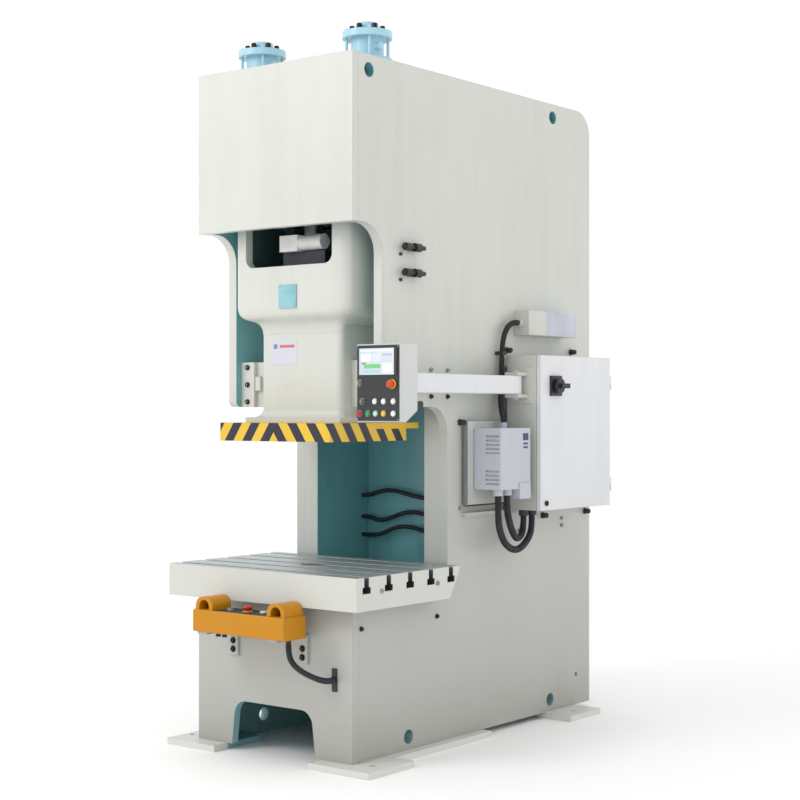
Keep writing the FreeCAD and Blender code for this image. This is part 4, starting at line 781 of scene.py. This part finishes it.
# %% Structural screws
RIGHT, TOWARDS_OPERATOR, UP = (1, 0, 0), (0, -1, 0), (0, 0, 1)
BOTH_SIDES = (-1, 1)
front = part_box("crown_front")[0].y
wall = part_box("side_plate_right")[1].x
upper_screws = [(wall, front + along, 1.790) for along in (0.576, 0.706)]
lower_screws = [(wall, front + 0.576, 1.663), (wall, front + 0.706, 1.663),
                (wall, front + 0.059, 0.625), (wall, front + 0.622, 0.625)]
PLATE_HEAD = 0.009
screws("upper_screws", upper_screws, RIGHT, zinc, "frame", "steel", PLATE_HEAD, PLATE_HEAD,
       washer=1.3)
screws("lower_screws", lower_screws, RIGHT, blackened, "frame", "black_plastic", PLATE_HEAD,
       PLATE_HEAD, washer=1.3)

# %% Bolts on the cylinder caps
BOLT_RING, BOLT_COUNT, BOLT_START = 0.070, 6, 0.66
cap_low, cap_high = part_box("balance_cylinders")
cap_half, cap_top = (cap_high.y - cap_low.y) / 2, cap_high.z - 0.040
cap_places = []
for side in BOTH_SIDES:
    for i in range(BOLT_COUNT):
        angle = math.tau * i / BOLT_COUNT + BOLT_START
        cap_places.append((side * (-cap_low.x - cap_half) + BOLT_RING * math.cos(angle),
                           (cap_low.y + cap_high.y) / 2 + BOLT_RING * math.sin(angle), cap_top))
screws("cap_screws", cap_places, UP, blackened, "frame", "steel", 0.013, 0.024, *HEXAGON, 1.3)

# %% Screws on the guide rails, the bolster and the station's bracket
GIB_HEAD, GIB_TALL = 0.0105, 0.0095
gib_low, gib_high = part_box("gibs")
gib_places = [(side * (gib_high.x - 0.042), gib_low.y + 0.009, gib_low.z + rise)
              for side in BOTH_SIDES for rise in (0.025, 0.108, 0.192)]
screws("gib_screws", gib_places, TOWARDS_OPERATOR, blackened, "frame", "steel", GIB_HEAD,
       GIB_TALL, washer=1.25)
bolster_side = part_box("bolster")[1].x
plug_places = [(bolster_side, along, 0.799) for along in (-0.790, -0.377)]
screws("bolster_plugs", plug_places, RIGHT, zinc, "frame", "steel", 0.010, 0.005, washer=1.25)
bracket_places = [(x, front - 0.012, high) for x in (-0.240, 0.192) for high in (0.480, 0.520)]
screws("bracket_screws", bracket_places, TOWARDS_OPERATOR, blackened, "frame", "steel", GIB_HEAD,
       GIB_TALL, *HEXAGON, 1.5)

# %% [markdown]
# ## Ribbed conduit
# A ribbed plastic conduit is a row of rings on a thin tube. The route is a smooth spline through
# the places where the conduit is held; the recipe cuts it into short equal steps and makes every
# other pair of steps wider. Plain hoses use the same recipe with no rib height.

# %% Hose recipe
hose = Recipe("hose", Radius="size", Step="size", Rib="size", Around="count")
given = hose.given
index = hose.node("GeometryNodeInputIndex")
groove = index.math("MODULO", index, 4) > 1.5
hose.end(hose.tube(hose.circle(given["Around"], given["Radius"]), 1.0 - given["Rib"] * groove),
         smooth=True)


def route(name, points):
    """A smooth open spline through a route's points."""
    curve = bpy.data.curves.new(name, "CURVE")
    curve.dimensions = "3D"
    curve.resolution_u = 24
    spline = curve.splines.new("NURBS")
    spline.points.add(len(points) - 1)
    for point, place in zip(spline.points, points):
        point.co = (*place, 1.0)
    spline.order_u = 3
    spline.use_endpoint_u = True
    return curve


def conduit(name, points, radius, rib=0.16, pitch=0.0055, around=20):
    hose.run(name, route(name, points), finishes["black_rubber"], "frame", "black_rubber",
             ("conduits",), Radius=radius, Step=pitch / 4, Rib=rib, Around=around)


print("hose recipe ready")

# %% [markdown]
# ## The conduits' routes
# Four ribbed conduits join the boxes: one leaves the two-hand station, and three run on the right
# side. The numbers are each route's own places, in metres: where it is clipped, where it bends
# and how far it hangs down.

# %% Conduits
SLIM, STOUT = 0.014, 0.017
conduit("station_conduit", [
    (0.243, front - 0.162, 0.559), (0.243, front - 0.162, 0.520), (0.256, front - 0.154, 0.478),
    (0.290, front - 0.136, 0.444), (0.334, front - 0.112, 0.420), (0.362, front - 0.082, 0.403),
    (0.376, front - 0.048, 0.395), (0.376, front - 0.012, 0.395)], SLIM)
conduit("junction_conduit", [
    (wall + 0.040, front + 1.249, 2.037), (wall + 0.040, front + 1.207, 2.037),
    (wall + 0.036, front + 1.160, 2.012), (wall + 0.031, front + 1.134, 1.958),
    (wall + 0.030, front + 1.122, 1.880), (wall + 0.031, front + 1.119, 1.760),
    (wall + 0.030, front + 1.112, 1.680), (wall + 0.042, front + 1.096, 1.624),
    (wall + 0.064, front + 1.074, 1.592), (wall + 0.082, front + 1.060, 1.560),
    (wall + 0.082, front + 1.060, 1.538)], SLIM)
loop_x, near_y, far_y = wall + 0.154, front + 0.985, front + 0.910
conduit("drive_loop_near", [
    (loop_x, near_y, 1.186), (loop_x, near_y, 1.120), (loop_x - 0.002, near_y + 0.022, 1.058),
    (loop_x - 0.010, near_y + 0.062, 1.004), (loop_x - 0.024, near_y + 0.118, 0.966),
    (loop_x - 0.040, near_y + 0.178, 0.972), (loop_x - 0.057, near_y + 0.230, 1.008),
    (loop_x - 0.057, near_y + 0.230, 1.074)], STOUT)
conduit("drive_loop_far", [
    (loop_x, far_y, 1.186), (loop_x, far_y, 1.112), (loop_x - 0.004, far_y + 0.012, 1.036),
    (loop_x - 0.014, far_y + 0.062, 0.966), (loop_x - 0.026, far_y + 0.138, 0.922),
    (loop_x - 0.040, far_y + 0.222, 0.908), (loop_x - 0.050, far_y + 0.300, 0.928),
    (loop_x - 0.056, far_y + 0.366, 0.976), (loop_x - 0.057, far_y + 0.380, 1.030),
    (loop_x - 0.057, far_y + 0.380, 1.074)], STOUT)

# %% [markdown]
# ## Air hoses in the throat
# Three smooth air hoses cross the back of the throat from wall to wall. Each leaves its wall
# level and then wanders up and down by its own list of millimetres.

# %% Throat hoses
REACH, LEVEL, HOSE_BACK = 0.340, 0.046, front + 1.070
HOSE_RADIUS = 0.011
THROAT_RISES = {"upper": (1.151, (26, 34, 22, 6, -4, -4, 2)),
                "middle": (1.041, (-20, 0, 28, 36, 24, 8, -2)),
                "lower": (0.945, (4, 38, 56, 50, 34, 16, 4))}
for word, (high, rises) in THROAT_RISES.items():
    places = [(-REACH, HOSE_BACK, high), (-REACH + LEVEL, HOSE_BACK, high)]
    step_x = 2 * (REACH - LEVEL) / (len(rises) + 1)
    for i, rise in enumerate(rises):
        places.append((-REACH + LEVEL + step_x * (i + 1), front + 1.066 + 0.006 * (i % 2),
                       high + rise / 1000))
    places += [(REACH - LEVEL, HOSE_BACK, high), (REACH, HOSE_BACK, high)]
    conduit("throat_hose_" + word, places, HOSE_RADIUS, rib=0.0, pitch=0.024, around=18)

# %% [markdown]
# ## Turned caps and knobs
# Mushroom buttons are turned or moulded round a single axis. The profile is a short list of
# radii and heights, taken once round the axis; the first and last radius are zero, so that the
# poles close. The caps keep the travel of the plain CAD buttons they stand for.

# %% Turned pieces
def turned(name, profile, centre, facing, finish, body, replaces=(), around=40):
    """A profile of (radius, height) turned about an axis."""
    build = bmesh.new()
    rings = []
    for radius, height in profile:
        angles = [math.tau * i / around for i in range(around if radius else 1)]
        rings.append([build.verts.new((radius * math.cos(a), radius * math.sin(a), height))
                      for a in angles])
    for upper, lower in zip(rings, rings[1:]):
        for i in range(around):
            j = (i + 1) % around
            corners = [upper[i % len(upper)], upper[j % len(upper)], lower[j % len(lower)],
                       lower[i % len(lower)]]
            build.faces.new(list(dict.fromkeys(corners)))
    turn = Vector(UP).rotation_difference(Vector(facing)).to_matrix().to_4x4()
    bmesh.ops.transform(build, matrix=Matrix.Translation(centre) @ turn, verts=build.verts)
    mesh = finish_bmesh(name, build)
    mesh.shade_smooth()
    mesh.set_sharp_from_angle(angle=math.radians(40))
    keep(name, mesh, finish, body, replaces)


def mushroom(radius, neck, low, high):
    """The profile of a mushroom cap: domed top, rolled rim, straight neck from height 0."""
    deep = high - low
    return [(0, high), (0.42 * radius, high - 0.03 * deep), (0.72 * radius, high - 0.15 * deep),
            (0.93 * radius, high - 0.40 * deep), (radius, high - 0.62 * deep),
            (0.95 * radius, low + 0.12 * deep), (0.86 * radius, low), (neck, low), (neck, 0),
            (0, 0)]


print("profile of a cap:", len(mushroom(1, 1, 0, 1)), "rings")

# %% Mushroom caps
def middle_of(node):
    low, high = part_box(node)
    return (low + high) / 2


def raised_cap(name, node, neck, low_rim, finish):
    """A mushroom cap that stands up in place of a plain CAD button."""
    low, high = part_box(node)
    turned(name, mushroom((high.x - low.x) / 2, neck, low_rim, high.z - low.z),
           (middle_of(node).x, middle_of(node).y, low.z), UP, finish, node, (node,))


stop_orange = moulded("stop_cap", shade(214, 72, 30), shade(190, 54, 24), 0.24)
panel_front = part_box("panel_face")[0].y
stop_centre = (middle_of("panel_stop").x, panel_front, middle_of("panel_stop").z)
turned("panel_stop_cap", mushroom(0.020, 0.011, 0.010, panel_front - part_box("panel_stop")[0].y),
       stop_centre, TOWARDS_OPERATOR, stop_orange, "panel_stop", ("panel_stop",))
for word in ("left", "right"):
    raised_cap("palm_cap_" + word, "palm_" + word, 0.016, 0.027, finishes["black_plastic"])
raised_cap("station_stop_cap", "station_stop", 0.013, 0.026, finishes["red"])

# %% [markdown]
# ## Collars
# Every button comes up through a collar, a nut with a rounded section. A circle swept with a
# filleted rectangle makes one, and the recipe puts it on each button's place.

# %% Collar recipe
collar = Recipe("collar", Radius="size", Wide="size", Tall="size", Around="count")
given = collar.given
section = collar.node("GeometryNodeCurvePrimitiveQuadrilateral", None,
                      {"Width": given["Wide"], "Height": given["Tall"]})
soft_section = collar.node("GeometryNodeFilletCurve", {"mode": "POLY"},
                           {"Curve": section, "Count": 2, "Radius": 0.3 * given["Tall"],
                            "Limit Radius": True})
swept = collar.node("GeometryNodeCurveToMesh", None,
                    {"Curve": collar.circle(given["Around"], given["Radius"]),
                     "Profile Curve": soft_section})
collar.end(collar.on_points(collar.raised(swept, 0.5 * given["Tall"])))


def collars(name, places, facing, radius, wide, tall, finish, body, slot_name="steel", around=32):
    collar.run(name, points_mesh(name, places, facing), finish, body, slot_name,
               Radius=radius, Wide=wide, Tall=tall, Around=around)


print("collar recipe nodes:", len(collar.tree.nodes))

# %% Collars on the panel and the station
def panel_places(names):
    return [(middle_of(name).x, panel_front, middle_of(name).z) for name in names]


def station_places(names):
    return [(middle_of(name).x, station_row, station_top) for name in names]


station_row = middle_of("station_stop").y
panel_buttons = [name for name in nodes if name.startswith("button_")]
collars("button_collars", panel_places(panel_buttons), TOWARDS_OPERATOR, 0.0131, 0.0030, 0.0045,
        zinc, "panel")
collars("switch_collars", panel_places(("panel_key", "panel_selector")), TOWARDS_OPERATOR, 0.0138,
        0.0026, 0.0035, zinc, "panel")
collars("stop_collar", [stop_centre], TOWARDS_OPERATOR, 0.0168, 0.0100, 0.0040,
        finishes["yellow"], "panel", "yellow")
collars("station_collars", station_places(("station_grey", "station_white", "station_black")), UP,
        0.0180, 0.0050, 0.0050, zinc, "frame")
collars("station_stop_collar", station_places(("station_stop",)), UP, 0.0190, 0.0110, 0.0040,
        finishes["yellow"], "frame", "yellow")
face_low, face_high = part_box("panel_face")
corner_places = [(x, panel_front, z) for x in (face_low.x + 0.0048, face_high.x - 0.0048)
                 for z in (face_low.z + 0.0055, face_high.z - 0.0055)]
screws("panel_screws", corner_places, TOWARDS_OPERATOR, zinc, "panel", "steel", 0.0026, 0.0018,
       washer=1.15)

# %% [markdown]
# ## Plates, seals and frames
# Label plates, seals and gaskets are flat pieces with small rounded edges. Two helpers make
# them all: a slab between two corners, and an open frame round a rectangle.

# %% Slabs and frames
def slab(name, low, high, finish, body, edge=0.0008):
    """A flat piece between two corners, with its edges rounded."""
    build = bmesh.new()
    bmesh.ops.create_cube(build, size=1.0)
    low, high = Vector(low), Vector(high)
    for corner in build.verts:
        corner.co = [low[i] + (corner.co[i] + 0.5) * (high[i] - low[i]) for i in range(3)]
    bmesh.ops.bevel(build, geom=build.edges[:], offset=edge, segments=2, profile=0.5,
                    affect="EDGES")
    keep(name, finish_bmesh(name, build), finish, body)


def open_frame(name, low, high, wide, thick, finish, body):
    """A rectangular ring in the YZ plane; low and high are its outer corners."""
    build = bmesh.new()
    rings = []
    for x in (low[0], low[0] + thick):
        for inset in (0.0, wide):
            corners = [(low[1] + inset, low[2] + inset), (high[1] - inset, low[2] + inset),
                       (high[1] - inset, high[2] - inset), (low[1] + inset, high[2] - inset)]
            rings.append([build.verts.new((x, *corner)) for corner in corners])
    for a, b in ((0, 1), (1, 3), (3, 2), (2, 0)):
        for i in range(4):
            j = (i + 1) % 4
            build.faces.new([rings[a][i], rings[a][j], rings[b][j], rings[b][i]])
    keep(name, finish_bmesh(name, build), finish, body)


rubber = finishes["black_rubber"]
door_low, door_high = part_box("cabinet_door")
open_frame("door_gasket", (door_low.x - 0.0018, door_low.y + 0.003, door_low.z + 0.003),
           (0, door_high.y - 0.004, door_high.z - 0.003), 0.012, 0.0016, rubber, "frame")

# %% [markdown]
# ## Label and plate on the slide
# The label is a thin white film with one plain red band and one plain blue square, and no
# letters. The square plate above it is held by four small rivets.

# %% Label and rivets
trunk_front = slide_low.y + 0.085
label = Finish("blank_label", Coat_Weight=0.3)
x, y, z = label.axes(label.place)
rise = z - slide_low.z
band = (rise > 0.354) * (rise < 0.368) * (x > -0.128) * (x < -0.034)
spot = (rise > 0.350) * (rise < 0.372) * (x > -0.166) * (x < -0.142)
paper = label.mix(shade(208, 209, 222), shade(200, 202, 214), label.noise(12.0, 3.0))
printed = label.mix(label.mix(paper, shade(202, 112, 112), band), shade(122, 130, 170), spot)
label.feed(Base_Color=printed, Roughness=0.30 + 0.1 * label.noise(20.0, 2.0))
slab("trunk_label", (-0.186, trunk_front - 0.0016, slide_low.z + 0.276),
     (-0.018, trunk_front + 0.0004, slide_low.z + 0.385), label, "slide", 0.0006)
RIVET_INSET = 0.008
plate_low, plate_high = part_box("slide_plate")
rivet_places = [(x, plate_low.y, z) for x in (plate_low.x + RIVET_INSET, plate_high.x - RIVET_INSET)
                for z in (plate_low.z + RIVET_INSET, plate_high.z - RIVET_INSET)]
screws("plate_rivets", rivet_places, TOWARDS_OPERATOR, zinc, "slide", "steel", 0.0028, 0.0016, 14,
       0.7, 0.0, 1.1)

# %% [markdown]
# ## Fittings round the cabinet and the drive unit
# The cabinet and the drive unit stand off the side plate on studs with black knobs. Below the
# drive unit's plate a black rubber strip stands for a seal and for the shadow in the gap under the
# plate, and a grey plastic strip in front is painted shadow of the gap along its front edge. The
# unit itself has a small dark keypad with six keys and nothing written on them.

# %% Stand-offs, seals and keypad
# painted shadow: the black strip below the plate, partly a rubber seal, and the grey strip in front
# stand for the shadow in the gap between the plate and the side plate
slab("drive_plate_seal_shadow", (wall + 0.014, front + 0.819, 1.1345),
     (wall + 0.0365, front + 1.152, 1.1425), rubber, "frame", 0.002)
slab("drive_plate_edge_shadow", (wall + 0.014, front + 0.8165, 1.138),
     (wall + 0.0365, front + 0.8245, 1.548), finishes["grey_plastic"], "frame",
     0.002)
knob_places = [(wall, 0.335, 1.898), (wall, 0.938, 1.905), (wall, 0.666, 1.054),
               (wall, 1.081, 1.056), (wall, front + 0.806, 1.540)]
screws("stand_off_knobs", knob_places, RIGHT, finishes["black_plastic"], "frame", "black_plastic",
       0.0135, 0.026, 24, 0.5, 0.12, 1.2)
small_places = [(wall, 0.850, 0.993), (wall, 0.850, 1.030), (wall, 0.448, 0.988),
                (wall, front + 0.806, 1.126)]
screws("stand_off_screws", small_places, RIGHT, zinc, "frame", "steel", 0.008, 0.010, *HEXAGON,
       1.4)
drive_low, drive_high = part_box("drive_box")
keypad = moulded("drive_keypad", shade(62, 66, 104), shade(50, 54, 90), 0.30)
slab("drive_keypad", (drive_high.x - 0.0066, drive_low.y + 0.186, 1.452),
     (drive_high.x - 0.0046, drive_low.y + 0.232, 1.486), keypad, "frame")
key_places = [(drive_high.x - 0.006, drive_low.y + along, high)
              for along in (0.194, 0.208, 0.222) for high in (1.418, 1.436)]
screws("drive_keys", key_places, RIGHT, keypad, "frame", "switch_navy", 0.0045, 0.002, 16, 0.8,
       0.0, 1.2)

# %% [markdown]
# ## Weld beads
# The feet are welded to the side plates. A weld is a row of small overlapping puddles, so the
# bead is a tube whose width swells and shrinks with every few millimetres of its run.

# %% Weld recipe
FOOT_LONG, BEAD_LIFT = 0.321, 0.002
weld = Recipe("weld", Radius="size", Step="size")
phase = weld.node("GeometryNodeInputIndex") * 2.1
ripple = phase.math("SINE", phase)
weld.end(weld.tube(weld.circle(8, weld.given["Radius"]), 1.0 + 0.16 * ripple), smooth=True)
bead_runs = bpy.data.curves.new("bead_runs", "CURVE")
bead_runs.dimensions = "3D"
shoe_low, shoe_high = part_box("shoes")
bead_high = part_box("side_plate_right")[0].z + BEAD_LIFT
for side in BOTH_SIDES:
    bead_x = side * (wall + BEAD_LIFT)
    for start, end in ((front + 0.042, shoe_low.y + FOOT_LONG),
                       (shoe_high.y - FOOT_LONG, shoe_high.y - 0.002)):
        run = bead_runs.splines.new("POLY")
        run.points.add(1)
        run.points[0].co = (bead_x, start, bead_high, 1.0)
        run.points[1].co = (bead_x, end, bead_high, 1.0)
weld.run("foot_welds", bead_runs, finishes["cream_paint"], "frame", "cream_paint", Radius=0.0055,
         Step=0.0035)

# %% [markdown]
# ## The rear cover
# The back of the frame is a plain cover between the side plates. It is screwed on round its
# edge, and two columns of pressed louvres let the motor's heat out.

# %% Rear cover details
BACKWARDS, PER_SIDE = (0, 1, 0), 10
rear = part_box("side_plate_right")[1].y
cover_places = [(side * 0.405, rear, 0.22 + 0.30 * i) for side in BOTH_SIDES
                for i in range(PER_SIDE)]
screws("cover_screws", cover_places, BACKWARDS, zinc, "frame", "steel", 0.008, 0.007, washer=1.5)
louvre = Recipe("louvre", Long="size", Radius="size", Flat="size")
given = louvre.given
rib = louvre.node("GeometryNodeMeshCylinder", None,
                  {"Vertices": 20, "Radius": given["Radius"], "Depth": given["Long"]})
flatten = louvre.node("ShaderNodeCombineXYZ", None, {0: 1.0, 1: given["Flat"], 2: 1.0})
pressed = louvre.node("GeometryNodeTransform", None, {0: rib, 3: flatten})
level = louvre.node("GeometryNodeTransform", None, {0: pressed, 2: (0.0, math.pi / 2, 0.0)})
louvre.end(louvre.node("GeometryNodeInstanceOnPoints", None, {0: given["Geometry"], 2: level}))
louvre_places = [(side * 0.17, rear, 1.36 + 0.05 * i) for side in BOTH_SIDES
                 for i in range(PER_SIDE)]
louvre.run("cover_louvres", points_mesh("cover_louvres", louvre_places, BACKWARDS),
           finishes["cream_paint"], "frame", "cream_paint", Long=0.24, Radius=0.014, Flat=0.45)
